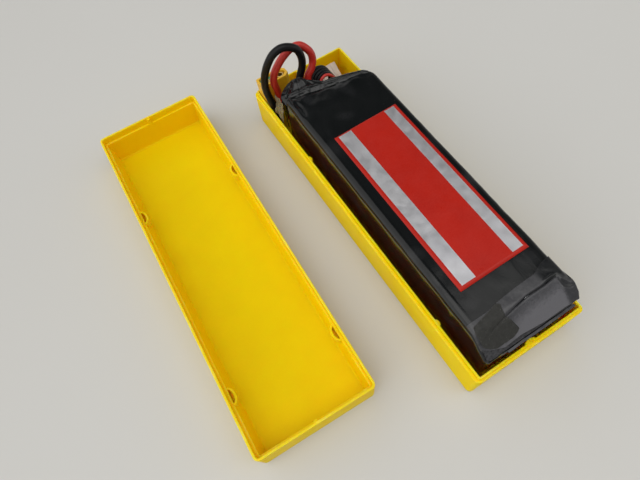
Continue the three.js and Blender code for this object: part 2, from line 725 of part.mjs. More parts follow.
// Keyed insert round the left contact
function connectorInsert() {
  const wide = PLUG_WIDE / 2 - PLUG_RECESS_WALL - 2 * REST_GAP;
  const deep = PLUG_DEEP - 2 * PLUG_RECESS_WALL - 2 * REST_GAP;
  const low = -PLUG_RECESS_DEEP + REST_GAP;
  const pad = roundedPrism(wide, deep, PLUG_EDGE, low, low + INSERT_TALL);
  pad.translate(-wide / 2 - REST_GAP, 0, 0);
  const clear = CONTACT_RADIUS + REST_GAP;
  const hole = upright(clear, clear, low - CUT_SPARE, CUT_SPARE, ROUND_SIDES);
  return toSolid(pad).subtract(toSolid(moved(hole, -CONTACT_SIDE, 0, 0)));
}

// Turned contact: socket at the mating end, solder cup at the other
function contact() {
  const bottom = -PLUG_TALL - CONTACT_BELOW;
  const cupInside = LEAD_DIAMETER / 2 + CUP_CLEAR;
  const shoulder = -PLUG_TALL - REST_GAP;
  const top = -PLUG_EDGE;
  const profile = [
    [0, bottom + CUP_DEEP],
    [cupInside, bottom + CUP_DEEP],
    [cupInside, bottom],
    [CUP_RADIUS, bottom],
    [CUP_RADIUS, shoulder],
    [CONTACT_RADIUS, shoulder],
    [CONTACT_RADIUS, top],
    [CONTACT_BORE, top],
    [CONTACT_BORE, top - CONTACT_BORE_DEEP],
    [0, top - CONTACT_BORE_DEEP],
  ];
  const geometry = new THREE.LatheGeometry(profile.map(([r, z]) => new THREE.Vector2(r, z)), ROUND_SIDES);
  geometry.rotateX(Math.PI / 2);
  return toSolid(geometry);
}

// Balance plug, drawn level round its middle, with the wires entering at its near end
function balancePlug() {
  const near = -BALANCE_LONG / 2;
  const outline = roundedOutline(BALANCE_WIDE, BALANCE_THICK, BALANCE_EDGE);
  let plug = toSolid(frontPrism(outline, near, BALANCE_LONG / 2));
  for (let index = 0; index < WIRE_COUNT; index += 1) {
    const x = ((WIRE_COUNT - 1) / 2 - index) * BALANCE_PITCH;
    const hole = block(
      x - BALANCE_HOLE / 2,
      x + BALANCE_HOLE / 2,
      near - CUT_SPARE,
      near + BALANCE_ENTRY,
      -BALANCE_HOLE / 2,
      BALANCE_HOLE / 2
    );
    plug = plug.subtract(toSolid(hole));
  }
  SIDES.forEach((side) => {
    const rail = block(
      side * BALANCE_RAIL_SIDE - BALANCE_RAIL_WIDE / 2,
      side * BALANCE_RAIL_SIDE + BALANCE_RAIL_WIDE / 2,
      near + BALANCE_ENTRY,
      BALANCE_LONG / 2,
      0,
      BALANCE_THICK / 2 + BALANCE_RAIL_TALL
    );
    plug = plug.add(toSolid(rail));
  });
  return plug;
}

// Finishes
const FINISHES = {
  case: { color: 0xe6b800, roughness: 0.45, metalness: 0 },
  sleeve: { color: 0x1c1d20, roughness: 0.35, metalness: 0 },
  label: { color: 0xa8201a, roughness: 0.4, metalness: 0 },
  tape: { color: 0x2c2d2c, roughness: 0.9, metalness: 0 },
  boot: { color: 0x16171a, roughness: 0.4, metalness: 0 },
  cell: { color: 0xb9bcc0, roughness: 0.35, metalness: 0.6 },
  pad: { color: 0x3a3b3d, roughness: 0.95, metalness: 0 },
  board: { color: 0x1f5a34, roughness: 0.6, metalness: 0 },
  leadBlack: { color: 0x141518, roughness: 0.45, metalness: 0 },
  leadRed: { color: 0xb5221c, roughness: 0.45, metalness: 0 },
  connector: { color: 0xc8920f, roughness: 0.4, metalness: 0 },
  insert: { color: 0x2f7a4c, roughness: 0.5, metalness: 0 },
  contact: { color: 0xd8b24a, roughness: 0.25, metalness: 1 },
  plug: { color: 0xe8e4da, roughness: 0.5, metalness: 0 },
};

const object = new THREE.Group();
object.name = "battery_storage_case";

function place(parent, name, geometry, finish) {
  const mesh = new THREE.Mesh(geometry, new THREE.MeshStandardMaterial(FINISHES[finish]));
  mesh.name = name;
  parent.add(mesh);
  return mesh;
}

// Base tray
place(object, "base_tray", toGeometry(baseTray()), "case");

// Cover tray, lying open side up beside the base
const coverGroup = new THREE.Group();
coverGroup.position.set(-CASE_WIDTH - COVER_APART, COVER_AHEAD, 0);
coverGroup.rotation.z = COVER_TURN;
object.add(coverGroup);
place(coverGroup, "cover_tray", toGeometry(coverTray()), "case");

// Pack
place(object, "pack_sleeve", toGeometry(sleeve()), "sleeve");
const cellRoom = PACK_HEIGHT - 2 * SLEEVE_WALL - 2 * REST_GAP;
const cellThick = (cellRoom - (CELL_COUNT - 1) * REST_GAP) / CELL_COUNT;
const cellLow = PACK_LOW + SLEEVE_WALL + REST_GAP;
for (let index = 0; index < CELL_COUNT; index += 1) {
  const cell = place(object, "pouch_cell_" + (index + 1), toGeometry(pouchCell(cellThick)), "cell");
  cell.position.set(PACK_X, 0, cellLow + cellThick / 2 + index * (cellThick + REST_GAP));
}
place(object, "end_pad", toGeometry(endPad()), "pad");
const board = block(
  PACK_X - PACK_WIDTH / 2 + BOARD_SIDE_ROOM,
  PACK_X + PACK_WIDTH / 2 - BOARD_SIDE_ROOM,
  PACK_FAR_Y - BOARD_GAP - BOARD_THICK,
  PACK_FAR_Y - BOARD_GAP,
  PACK_LOW + BOARD_EDGE_ROOM,
  PACK_TOP - BOARD_EDGE_ROOM
);
place(object, "end_board", board, "board");
const labelX = PACK_X + LABEL_SIDE;
const label = block(
  labelX - LABEL_WIDE / 2,
  labelX + LABEL_WIDE / 2,
  PACK_NEAR_Y + LABEL_NEAR_GAP,
  PACK_NEAR_Y + LABEL_NEAR_GAP + LABEL_LONG,
  PACK_TOP + REST_GAP,
  PACK_TOP + REST_GAP + LABEL_THICK
);
place(object, "label_panel", label, "label");
place(object, "end_tape", bentTape(), "tape");
place(object, "lead_boot", toGeometry(leadBoot()), "boot");

// Cords
const blackLead = cordTube(LEAD_BLACK_ROUTE, LEAD_DIAMETER, LEAD_SIDES, LEAD_STEPS);
const redLead = cordTube(LEAD_RED_ROUTE, LEAD_DIAMETER, LEAD_SIDES, LEAD_STEPS);
place(object, "main_lead_black", blackLead, "leadBlack");
place(object, "main_lead_red", redLead, "leadRed");
for (let index = 0; index < WIRE_COUNT; index += 1) {
  const finish = index === WIRE_COUNT - 1 ? "leadRed" : "leadBlack";
  const tube = cordTube(wireRoute(index), WIRE_DIAMETER, WIRE_SIDES, WIRE_STEPS);
  place(object, "balance_wire_" + (index + 1), tube, finish);
}

// Main connector
const connector = new THREE.Group();
connector.position.set(PLUG_X, PLUG_TOP_Y, PLUG_TOP_Z);
connector.rotation.x = -PLUG_LEAN;
object.add(connector);
place(connector, "connector_body", toGeometry(connectorBody()), "connector");
place(connector, "connector_insert", toGeometry(connectorInsert()), "insert");
["left", "right"].forEach((name, index) => {
  const mesh = place(connector, "contact_" + name, toGeometry(contact()), "contact");
  mesh.position.x = (index === 0 ? -1 : 1) * CONTACT_SIDE;
});
const balance = place(object, "balance_plug", toGeometry(balancePlug()), "plug");
balance.position.set(BALANCE_X, BALANCE_Y, BALANCE_Z);
balance.rotation.x = BALANCE_LEAN;

export default object;
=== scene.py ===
import math

import bmesh
import bpy
import numpy as np
from mathutils import Matrix, Vector, noise


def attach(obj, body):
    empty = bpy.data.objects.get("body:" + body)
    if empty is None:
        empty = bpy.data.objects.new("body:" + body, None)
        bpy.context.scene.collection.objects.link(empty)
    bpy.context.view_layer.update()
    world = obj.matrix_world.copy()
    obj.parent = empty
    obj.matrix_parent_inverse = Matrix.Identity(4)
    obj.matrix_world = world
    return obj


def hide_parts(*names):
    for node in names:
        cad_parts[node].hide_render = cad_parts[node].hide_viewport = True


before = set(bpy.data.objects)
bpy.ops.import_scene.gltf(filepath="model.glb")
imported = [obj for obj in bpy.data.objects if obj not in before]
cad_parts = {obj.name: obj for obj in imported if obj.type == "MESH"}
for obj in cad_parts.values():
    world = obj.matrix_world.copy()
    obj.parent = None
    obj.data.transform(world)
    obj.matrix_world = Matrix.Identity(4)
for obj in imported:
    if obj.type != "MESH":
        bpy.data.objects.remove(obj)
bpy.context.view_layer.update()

# Two-part snap case with a battery pack in its base tray. Metres, X across the case, Y along it,
# Z up, origin under the middle of the base tray.

# Camera of the photograph
CAMERA_PLACE = (-0.090994, -0.102585, 0.244741)
CAMERA_LENS = 28.213
CAMERA_PITCH = 0.452942
CAMERA_ROLL = -0.182910
CAMERA_YAW = -0.400529

# Case
CASE_WIDTH = 0.060
CASE_LENGTH = 0.1972
CORNER_RADIUS = 0.0024
INNER_CORNER = 0.0006
FOOT_EDGE = 0.0008
RIM_EDGE = 0.00022
# How far the painted edge band reaches: partly wear, partly painted highlight on the rims
WEAR_AND_HIGHLIGHT_REACH = 0.0006
FLOOR_EDGE = 0.0012
FLOOR = 0.002
LIP_INSET = 0.0013
LIP_THICKNESS = 0.0009
LIP_HEIGHT = 0.0022
BASE_HEIGHT = 0.0224
COVER_HEIGHT = 0.0208
COVER_WALL = 0.0023
COVER_DRAFT = 0.001
RIM_WALL = 0.0011
REBATE_DEPTH = 0.0040
COVER_CENTRE = (-0.0924, 0.0241, 0.0)
COVER_TURN = -0.0316
CORNER_STEPS = 12
FILLET_STEPS = 4
RIM_STEPS = 3
RIB_SIDES = 40
RIB_TIP_SHARE = 0.04
TRAY_SHARP = math.radians(38)
# Edge values on the foot and the lip: partly wear, partly painted highlight
FOOT_WEAR_AND_HIGHLIGHT = 0.3
LIP_WEAR_AND_HIGHLIGHT = 0.2

# Snap features
SNAP_SHARES = (0.2, -0.345)
NUB_HALF = 0.0017
NUB_DEEP = 0.001
NUB_TALL = 0.0034
BOSS_HALF = 0.0044
BOSS_DEEP = 0.0026
BOSS_TALL = 0.010
SOCKET_WALL = 0.0011
SOCKET_DEEP = 0.005
PEG_RADIUS = 0.0012
PEG_LAND = 0.0004
NOTCH_CLEAR = 0.0003
BACKING_HALF = 0.0028
BACKING_DEEP = 0.0013
BACKING_TALL = 0.006
HAIR = 0.00002

# Pack, as long as its shorter side
PACK_MIDDLE_X = 0.0008
PACK_HALF = 0.025
PACK_NEAR = -0.0946
PACK_FAR = 0.0604
PACK_LOW = 0.0023
PACK_TOP = 0.0404
PACK_EDGE = 0.0030
FAR_SLANT = 0.0106
SLOPE_LONG = 0.012
SLOPE_DROP = 0.0096
SLEEVE_WALL = 0.00035
PACK_NEAR_RADIUS = 0.0022
BROW_RADIUS = 0.0050
PACK_FAR_RADIUS = 0.0024
NEAR_CORNER = 0.0025
FAR_CORNER = 0.0045
END_LOW_RADIUS = 0.003
NEAR_CROWN = 0.0008
FAR_CROWN = 0.0006
CROWN_POWER = 0.6
LEAST_EDGE_SHARE = 1 / 2.2

# Cords
LEAD_DIAMETER = 0.0041
WIRE_DIAMETER = 0.0017
WIRE_COUNT = 5
CORD_STEP = 0.0008
CORD_ROUNDNESS = 6

LEAD_BLACK_ROUTE = [
    (-0.0160, 0.0592, 0.0255), (-0.0156, 0.0660, 0.0265), (-0.0134, 0.0715, 0.0296),
    (-0.0109, 0.0756, 0.0342), (-0.0088, 0.0780, 0.0396), (-0.0064, 0.0780, 0.0465),
    (-0.0062, 0.0780, 0.0526), (-0.0083, 0.0782, 0.0588), (-0.0121, 0.0786, 0.0620),
    (-0.0161, 0.0792, 0.0630), (-0.0204, 0.0800, 0.0611), (-0.0237, 0.0810, 0.0563),
    (-0.0264, 0.0822, 0.0491), (-0.0274, 0.0832, 0.0414), (-0.0271, 0.0838, 0.0343),
    (-0.0262, 0.0834, 0.0286), (-0.0253, 0.0824, 0.0230), (-0.0250, 0.0816, 0.0174),
    (-0.0249, 0.0813, 0.0120), (-0.0245, 0.0823, 0.0082), (-0.0239, 0.0850, 0.0067),
    (-0.0234, 0.0879, 0.0081), (-0.0231, 0.0891, 0.0112), (-0.0230, 0.0895, 0.0143),
]
LEAD_RED_ROUTE = [
    (-0.0102, 0.0592, 0.0255), (-0.0100, 0.0660, 0.0263), (-0.0082, 0.0710, 0.0286),
    (-0.0058, 0.0754, 0.0326), (-0.0039, 0.0780, 0.0375), (-0.0009, 0.0786, 0.0408),
    (0.0008, 0.0794, 0.0446), (0.0007, 0.0803, 0.0493), (-0.0014, 0.0813, 0.0532),
    (-0.0044, 0.0824, 0.0559), (-0.0090, 0.0830, 0.0560), (-0.0139, 0.0833, 0.0531),
    (-0.0179, 0.0835, 0.0490), (-0.0208, 0.0838, 0.0442), (-0.0218, 0.0840, 0.0389),
    (-0.0209, 0.0842, 0.0327), (-0.0203, 0.0840, 0.0281), (-0.0194, 0.0830, 0.0226),
    (-0.0184, 0.0820, 0.0172), (-0.0174, 0.0814, 0.0120), (-0.0166, 0.0823, 0.0082),
    (-0.0156, 0.0850, 0.0067), (-0.0148, 0.0879, 0.0081), (-0.0143, 0.0891, 0.0112),
    (-0.0142, 0.0895, 0.0143),
]
RIBBON_ROUTE = [
    (-0.0016, 0.0592, 0.0235), (-0.0016, 0.0654, 0.0235), (-0.0016, 0.0696, 0.0244),
    (-0.0014, 0.0732, 0.0275), (-0.0008, 0.0758, 0.0312), (0.0010, 0.0774, 0.0342),
    (0.0042, 0.0780, 0.0355), (0.0074, 0.0781, 0.0342), (0.0100, 0.0781, 0.0310),
    (0.0119, 0.0781, 0.0270), (0.0132, 0.0780, 0.0230), (0.0141, 0.0779, 0.0190),
    (0.0147, 0.0780, 0.0156), (0.0150, 0.0788, 0.0130), (0.0153, 0.0805, 0.0114),
    (0.0156, 0.0826, 0.0111), (0.0157, 0.0846, 0.0118), (0.0157, 0.0863, 0.0128),
]
RIBBON_HEADING_SHARES = [
    0.25, 0.25, 0.19, 0.12, 0.065, 0.03, 0.01, 0, 0, 0.02, 0.08, 0.16,
    0.23, 0.25, 0.25, 0.25, 0.25, 0.25,
]
RIBBON_SPACING = [
    0.00175, 0.00185, 0.00193, 0.00193, 0.00193, 0.00193, 0.00190, 0.00190, 0.00190,
    0.00193, 0.00195, 0.00200, 0.00210, 0.00225, 0.00240, 0.00245, 0.00250, 0.00250,
]

# Label
LABEL_LEFT = -0.0162
LABEL_RIGHT = 0.0211
LABEL_NEAR = -0.0654
LABEL_FAR = 0.0324
LABEL_LIFT = 0.00012
LABEL_THICK = 0.00012
BAND_LEFT = (-0.0140, -0.0066)
BAND_RIGHT = (0.0137, 0.0195)
BAND_NEAR = -0.0635
BAND_FAR = 0.0318

# Light: the sky's strength along X, Y and Z, and the directions where it is dimmed, with the inner
# and outer angle in degrees and the share that is taken away
SKY_COLOR = (1.0, 0.99, 0.97)
SKY_LEVELS = (1.64, 0.40, 1.08)
SKY_DIMS = [
    ((0.40, 0.37, 0.84), 15, 24, 0.93),
    ((0.0, -1.0, 0.15), 25, 60, 0.68),
    ((0.92, 0.25, 0.40), 20, 45, 0.80),
]
CEILING_COLOR = (1.0, 0.985, 0.96)
CEILING_PLACE = (-0.10, -0.23, 1.0)
CEILING_AIM = (-0.10, -0.23, 0.0)
CEILING_SIZE = (1.19, 0.74)
CEILING_POWER = 2.9

# Table
TABLE_HALF = 3.0
TABLE_CELLS = 24
TABLE_DROP = 0.00005

# Yellow plastic: its gloss, and the light under its surface as a share, its reach for red, green and
# blue, and the length that the reach is measured in
YELLOW_SPECULAR = 0.03
GLOW_SHARE = 0.6
GLOW_REACH = (1.0, 0.5, 0.03)
GLOW_LENGTH = 0.004


def make_camera():
    data = bpy.data.cameras.new("photo_camera")
    data.lens = CAMERA_LENS
    data.clip_start = 0.01
    camera = bpy.data.objects.new("photo_camera", data)
    bpy.context.scene.collection.objects.link(camera)
    turn = (
        Matrix.Rotation(CAMERA_YAW, 3, "Z")
        @ Matrix.Rotation(CAMERA_PITCH, 3, "X")
        @ Matrix.Rotation(CAMERA_ROLL, 3, "Z")
    )
    camera.location = CAMERA_PLACE
    camera.rotation_euler = turn.to_euler()
    bpy.context.scene.camera = camera


# A node tree, with short calls that add nodes to it
class Nodes:
    def __init__(self, owner):
        owner.use_nodes = True
        self.tree = owner.node_tree

    def feed(self, socket, value):
        if isinstance(value, bpy.types.NodeSocket):
            self.tree.links.new(value, socket)
        else:
            socket.default_value = value

    def node(self, kind, inputs=None, **settings):
        made = self.tree.nodes.new(kind)
        for key, value in settings.items():
            setattr(made, key, value)
        for key, value in (inputs or {}).items():
            self.feed(made.inputs[key], value)
        return made

    def span(self, value, low, high, to_low=0.0, to_high=1.0, curve="LINEAR"):
        inputs = {"Value": value, "From Min": low, "From Max": high, "To Min": to_low, "To Max": to_high}
        return self.node("ShaderNodeMapRange", inputs, interpolation_type=curve).outputs["Result"]

    def math(self, operation, first, second):
        return self.node("ShaderNodeMath", {0: first, 1: second}, operation=operation).outputs[0]

    def times(self, first, second):
        return self.math("MULTIPLY", first, second)

    def vector(self, operation, result, first, second):
        made = self.node("ShaderNodeVectorMath", {0: first, 1: second}, operation=operation)
        return made.outputs[result]


# A material, whose noise sizes and bump depths are in metres
class Finish(Nodes):
    def __init__(self, name, color, rough, metallic=0.0, specular=0.5):
        self.material = bpy.data.materials.new(name)
        super().__init__(self.material)
        self.shader = self.tree.nodes["Principled BSDF"]
        self.put("Base Color", (*color, 1))
        self.put("Roughness", rough)
        self.put("Metallic", metallic)
        self.put("Specular IOR Level", specular)
        self.where = self.node("ShaderNodeTexCoord").outputs["Object"]
        self.normal = None

    def put(self, name, value):
        self.feed(self.shader.inputs[name], value)

    def noise(self, size, detail=2.0, rough=0.5, stretch=(1, 1, 1), twist=0.0):
        place = self.node("ShaderNodeMapping", {"Vector": self.where, "Scale": stretch}).outputs["Vector"]
        inputs = {"Vector": place, "Scale": 1 / size, "Detail": detail, "Roughness": rough}
        inputs["Distortion"] = twist
        return self.node("ShaderNodeTexNoise", inputs).outputs["Fac"]

    def patches(self, size, detail=3, rough=0.5, stretch=(1, 1, 1), twist=0.0, cut=(0.3, 0.7), to=(0, 1)):
        """Noise whose range in cut is spread over the values in to."""
        return self.span(self.noise(size, detail, rough, stretch, twist), *cut, *to)

    def cells(self, size):
        made = self.node("ShaderNodeTexVoronoi", {"Vector": self.where, "Scale": 1 / size})
        return made.outputs["Distance"]

    def wave(self, size, direction, twist=0.0):
        inputs = {"Vector": self.where, "Scale": 1 / size, "Distortion": twist}
        return self.node("ShaderNodeTexWave", inputs, bands_direction=direction).outputs["Fac"]

    def mix(self, share, first, second):
        made = self.node("ShaderNodeMix", {"Factor": share}, data_type="RGBA")
        for socket, value in ((made.inputs[6], first), (made.inputs[7], second)):
            self.feed(socket, value if isinstance(value, bpy.types.NodeSocket) else (*value, 1))
        return made.outputs[2]

    def painted(self, name):
        return self.node("ShaderNodeAttribute", attribute_name=name).outputs["Fac"]

    def color(self, value):
        self.put("Base Color", value)

    def rough(self, value):
        self.put("Roughness", value)

    def bump(self, height, depth, strength=1.0):
        inputs = {"Strength": strength, "Distance": depth, "Height": height}
        if self.normal is not None:
            inputs["Normal"] = self.normal
        self.normal = self.node("ShaderNodeBump", inputs).outputs["Normal"]
        self.put("Normal", self.normal)


def yellow_plastic():
    finish = Finish("case_yellow", (0.88, 0.54, 0.002), 0.36, specular=YELLOW_SPECULAR)
    finish.put("Subsurface Weight", GLOW_SHARE)
    finish.put("Subsurface Radius", GLOW_REACH)
    finish.put("Subsurface Scale", GLOW_LENGTH)
    body = finish.mix(finish.patches(0.022), (0.90, 0.638, 0.002), (0.86, 0.600, 0.002))
    fine = finish.patches(0.0009, 2, cut=(0.35, 0.65))
    body = finish.mix(finish.times(fine, 0.10), body, (0.78, 0.51, 0.002))
    # Edges painted paler yellow by the edge values: partly wear, partly painted highlight on the rims
    scuffs = finish.patches(0.0035, 5, 0.65, (1, 0.35, 1), cut=(0.50, 0.66))
    worn_and_highlit = finish.times(finish.painted("edge"), finish.math("ADD", scuffs, 0.35))
    finish.color(finish.mix(finish.times(worn_and_highlit, 0.5), body, (0.95, 0.78, 0.12)))
    finish.rough(finish.patches(0.009, 4, 0.6, (1, 0.5, 1), 0.6, to=(0.34, 0.50)))
    finish.bump(finish.noise(0.00045, 2, 0.6), 0.000012, 0.8)
    finish.bump(finish.noise(0.012, 2), 0.00006, 0.5)
    return finish.material


def sleeve_film():
    finish = Finish("sleeve_film", (0.012, 0.012, 0.014), 0.3, specular=0.36)
    body = finish.mix(finish.patches(0.02), (0.0042, 0.0052, 0.0056), (0.0068, 0.0078, 0.0082))
    # The scuff values grey the film; on the flap they also hold painted reflection and painted crease
    # shade
    scuff = finish.painted("scuff")
    greyed_with_painted_light = finish.times(scuff, finish.patches(0.0012, 4, 0.65, to=(0.75, 1.15)))
    body = finish.mix(greyed_with_painted_light, body, (0.120, 0.119, 0.130))
    dust = finish.span(finish.cells(0.0042), 0.035, 0.02)
    patchy = finish.patches(0.014, 2, cut=(0.5, 0.62))
    specks = finish.times(finish.times(dust, patchy), 0.5)
    finish.color(finish.mix(specks, body, (0.32, 0.31, 0.29)))
    sheen = finish.patches(0.007, 4, 0.6, (1, 0.4, 1), to=(0.10, 0.19))
    finish.rough(finish.math("ADD", sheen, finish.times(scuff, 0.18)))
    finish.bump(finish.noise(0.006, 4, 0.55, (1, 0.45, 1), 0.8), 0.00012, 0.7)
    finish.bump(finish.noise(0.0008, 3, 0.6), 0.000015, 0.7)
    return finish.material


def label_red():
    finish = Finish("label_red", (0.50, 0.020, 0.010), 0.33, specular=0.2)
    body = finish.mix(finish.patches(0.018), (0.43, 0.013, 0.006), (0.37, 0.010, 0.005))
    grain = finish.patches(0.0007, 3, 0.7, cut=(0.35, 0.65), to=(0.0, 0.22))
    finish.color(finish.mix(grain, body, (0.52, 0.04, 0.025)))
    finish.rough(finish.patches(0.006, 4, 0.6, to=(0.27, 0.42)))
    finish.bump(finish.noise(0.008, 3, 0.5, (1, 0.5, 1)), 0.00008, 0.6)
    finish.bump(finish.noise(0.0006, 2), 0.000008, 0.6)
    return finish.material


def label_silver():
    finish = Finish("label_silver", (0.66, 0.66, 0.69), 0.36, metallic=0.8)
    broad = finish.patches(0.012, stretch=(1, 0.4, 1))
    body = finish.mix(broad, (0.58, 0.585, 0.62), (0.68, 0.68, 0.70))
    grain = finish.patches(0.0006, 3, 0.7, (3, 0.3, 1), cut=(0.35, 0.65), to=(0.0, 0.25))
    finish.color(finish.mix(grain, body, (0.52, 0.52, 0.56)))
    finish.rough(finish.patches(0.005, to=(0.30, 0.44)))
    finish.bump(finish.noise(0.008, 3, 0.5, (1, 0.5, 1)), 0.00008, 0.6)
    return finish.material


def cloth_tape():
    finish = Finish("tape_cloth", (0.030, 0.030, 0.027), 0.7)
    weave = finish.times(finish.wave(0.0007, "X", 0.6), finish.wave(0.0007, "Y", 0.6))
    body = finish.mix(weave, (0.013, 0.013, 0.011), (0.030, 0.030, 0.025))
    glints = finish.patches(0.0009, 5, 0.75, cut=(0.62, 0.72))
    finish.color(finish.mix(finish.times(glints, 0.6), body, (0.20, 0.20, 0.18)))
    finish.rough(finish.patches(0.002, to=(0.5, 0.8)))
    finish.bump(weave, 0.00006, 0.7)
    finish.bump(finish.noise(0.0025, 4, 0.6), 0.00022, 0.8)
    return finish.material


def silicone(name, first, second, dusty, specular=0.5):
    finish = Finish(name, first, 0.38, specular=specular)
    body = finish.mix(finish.patches(0.006), first, second)
    dust = finish.patches(0.0011, 5, 0.7, cut=(0.60, 0.74), to=(0.0, 0.35))
    finish.color(finish.mix(dust, body, dusty))
    finish.rough(finish.patches(0.003, to=(0.32, 0.48)))
    finish.bump(finish.noise(0.0004, 2), 0.00001, 0.6)
    return finish.material


def moulded(name, first, second, rough):
    finish = Finish(name, first, rough)
    finish.color(finish.mix(finish.patches(0.004), first, second))
    finish.rough(finish.patches(0.002, to=(rough - 0.06, rough + 0.08)))
    finish.bump(finish.noise(0.0006, 2), 0.000015, 0.7)
    return finish.material


def metal(name, first, second, rough, depth):
    finish = Finish(name, first, rough, metallic=0.95)
    finish.color(finish.mix(finish.patches(0.003, 4, 0.6), first, second))
    finish.rough(finish.patches(0.0015, 4, to=(rough - 0.08, rough + 0.14)))
    finish.bump(finish.noise(0.004, 4, 0.6), depth, 0.8)
    return finish.material


def circuit_board():
    finish = Finish("board_green", (0.01, 0.10, 0.035), 0.4)
    tracks = finish.times(finish.wave(0.006, "X", 2.5), finish.wave(0.005, "Z", 2.5))
    lines = finish.span(tracks, 0.28, 0.34)
    finish.color(finish.mix(lines, (0.008, 0.085, 0.030), (0.015, 0.14, 0.05)))
    finish.rough(finish.patches(0.002, to=(0.32, 0.5)))
    finish.bump(lines, 0.00004, 0.6)
    return finish.material


def foam():
    finish = Finish("foam_grey", (0.035, 0.035, 0.038), 0.95)
    pores = finish.cells(0.0011)
    finish.color(finish.mix(pores, (0.015, 0.015, 0.017), (0.055, 0.055, 0.06)))
    finish.rough(finish.span(pores, 0.0, 0.6, 0.98, 0.85))
    finish.bump(pores, 0.0004, 0.8)
    return finish.material


def clear_film():
    finish = Finish("clear_film", (0.62, 0.60, 0.50), 0.16)
    finish.put("Transmission Weight", 0.45)
    finish.put("IOR", 1.35)
    finish.color(finish.mix(finish.patches(0.003), (0.17, 0.15, 0.08), (0.34, 0.30, 0.19)))
    finish.rough(finish.patches(0.002, to=(0.12, 0.3)))
    finish.bump(finish.noise(0.0015, 4, 0.6), 0.0002, 0.8)
    return finish.material


def pale_table():
    finish = Finish("pale_table", (0.64, 0.63, 0.60), 0.6, specular=0.15)
    finish.color(finish.mix(finish.patches(0.25), (0.606, 0.604, 0.586), (0.592, 0.588, 0.568)))
    finish.bump(finish.noise(0.004, 3), 0.00005, 0.4)
    return finish.material


# Mesh helpers
def paint_points(mesh, key, values):
    layer = mesh.attributes.new(key, "FLOAT", "POINT")
    layer.data.foreach_set("value", [float(value) for value in values])


def piece_of(name, points, faces, materials, face_slots=None, paint=None):
    """One object from points and faces, smooth, with its materials and painted point values."""
    mesh = bpy.data.meshes.new(name)
    mesh.from_pydata([tuple(map(float, point)) for point in points], [], faces)
    for material in materials:
        mesh.materials.append(material)
    if face_slots is not None:
        mesh.polygons.foreach_set("material_index", face_slots)
    for key, values in (paint or {}).items():
        paint_points(mesh, key, values)
    mesh.polygons.foreach_set("use_smooth", [True] * len(mesh.polygons))
    mesh.validate()
    made = bpy.data.objects.new(name, mesh)
    bpy.context.scene.collection.objects.link(made)
    return made


def applied(piece):
    """The piece with its modifiers worked into its mesh."""
    graph = bpy.context.evaluated_depsgraph_get()
    baked = bpy.data.meshes.new_from_object(piece.evaluated_get(graph))
    piece.modifiers.clear()
    old = piece.data
    piece.data = baked
    bpy.data.meshes.remove(old)
    baked.name = piece.name
    return piece


def combined(piece, tool, operation):
    cut = piece.modifiers.new("join", "BOOLEAN")
    cut.operation = operation
    cut.solver = "EXACT"
    cut.object = tool
    applied(piece)
    bpy.data.objects.remove(tool)
    return piece


def crisp(piece, angle):
    """Smooth faces, but sharp where they meet at more than the angle, with flat faces kept flat."""
    piece.data.polygons.foreach_set("use_smooth", [True] * len(piece.data.polygons))
    piece.data.set_sharp_from_angle(angle=angle)
    weighted = piece.modifiers.new("flat_faces", "WEIGHTED_NORMAL")
    weighted.keep_sharp = True
    weighted.weight = 90
    return applied(piece)


def thickened(piece, thickness, offset):
    """The sheet with a wall on its front, where offset is 1, or behind it, where offset is -1."""
    wall = piece.modifiers.new("wall", "SOLIDIFY")
    wall.thickness = thickness
    wall.offset = offset
    return applied(piece)


def carried(piece, body, slot, *nodes):
    """The piece rides on a body and stands for the nodes; the slot is not used."""
    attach(piece, body)
    if nodes:
        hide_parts(*nodes)


def grid_faces(rows, columns, closed=False, start=0):
    """Quads of a grid of points laid row by row; closed joins the last column to the first."""
    faces = []
    last = columns if closed else columns - 1
    for row in range(rows - 1):
        for column in range(last):
            following = (column + 1) % columns
            low = start + row * columns
            high = low + columns
            faces.append((low + column, low + following, high + following, high + column))
    return faces


def arc_points(centre, radius, begin, end, steps):
    """Points on an arc in two coordinates, angles as shares of a turn."""
    return [
        (
            centre[0] + radius * math.cos(2 * math.pi * (begin + (end - begin) * index / steps)),
            centre[1] + radius * math.sin(2 * math.pi * (begin + (end - begin) * index / steps)),
        )
        for index in range(steps + 1)
    ]


# Trays, as one section swept round a rounded rectangle
def tray_ring(inset, height):
    half_x = CASE_WIDTH / 2 - inset
    half_y = CASE_LENGTH / 2 - inset
    radius = max(CORNER_RADIUS - inset, INNER_CORNER)
    ring = []
    for turn, (sx, sy) in enumerate(((1, -1), (1, 1), (-1, 1), (-1, -1))):
        centre = (sx * (half_x - radius), sy * (half_y - radius))
        begin = (turn - 1) / 4
        for x, y in arc_points(centre, radius, begin, begin + 1 / 4, CORNER_STEPS):
            ring.append((x, y, height))
    return ring


def swept_tray(name, section):
    """section is a list of inset, height and edge value, wear with painted highlight, from under the
    floor to the inner floor.
    """
    points = []
    wear_and_highlight = []
    for inset, height, edge in section:
        ring = tray_ring(inset, height)
        points += ring
        wear_and_highlight += [edge] * len(ring)
    columns = 4 * (CORNER_STEPS + 1)
    faces = grid_faces(len(section), columns, closed=True)
    faces.append(tuple(reversed(range(columns))))
    first = columns * (len(section) - 1)
    faces.append(tuple(range(first, first + columns)))
    return piece_of(name, points, faces, [YELLOW], paint={"edge": wear_and_highlight})


def foot_section():
    arc = arc_points((FOOT_EDGE, FOOT_EDGE), FOOT_EDGE, 3 / 4, 1 / 2, FILLET_STEPS)
    return [(inset, height, FOOT_WEAR_AND_HIGHLIGHT) for inset, height in arc] + [(0.0, FOOT_EDGE + WEAR_AND_HIGHLIGHT_REACH, 0.0)]


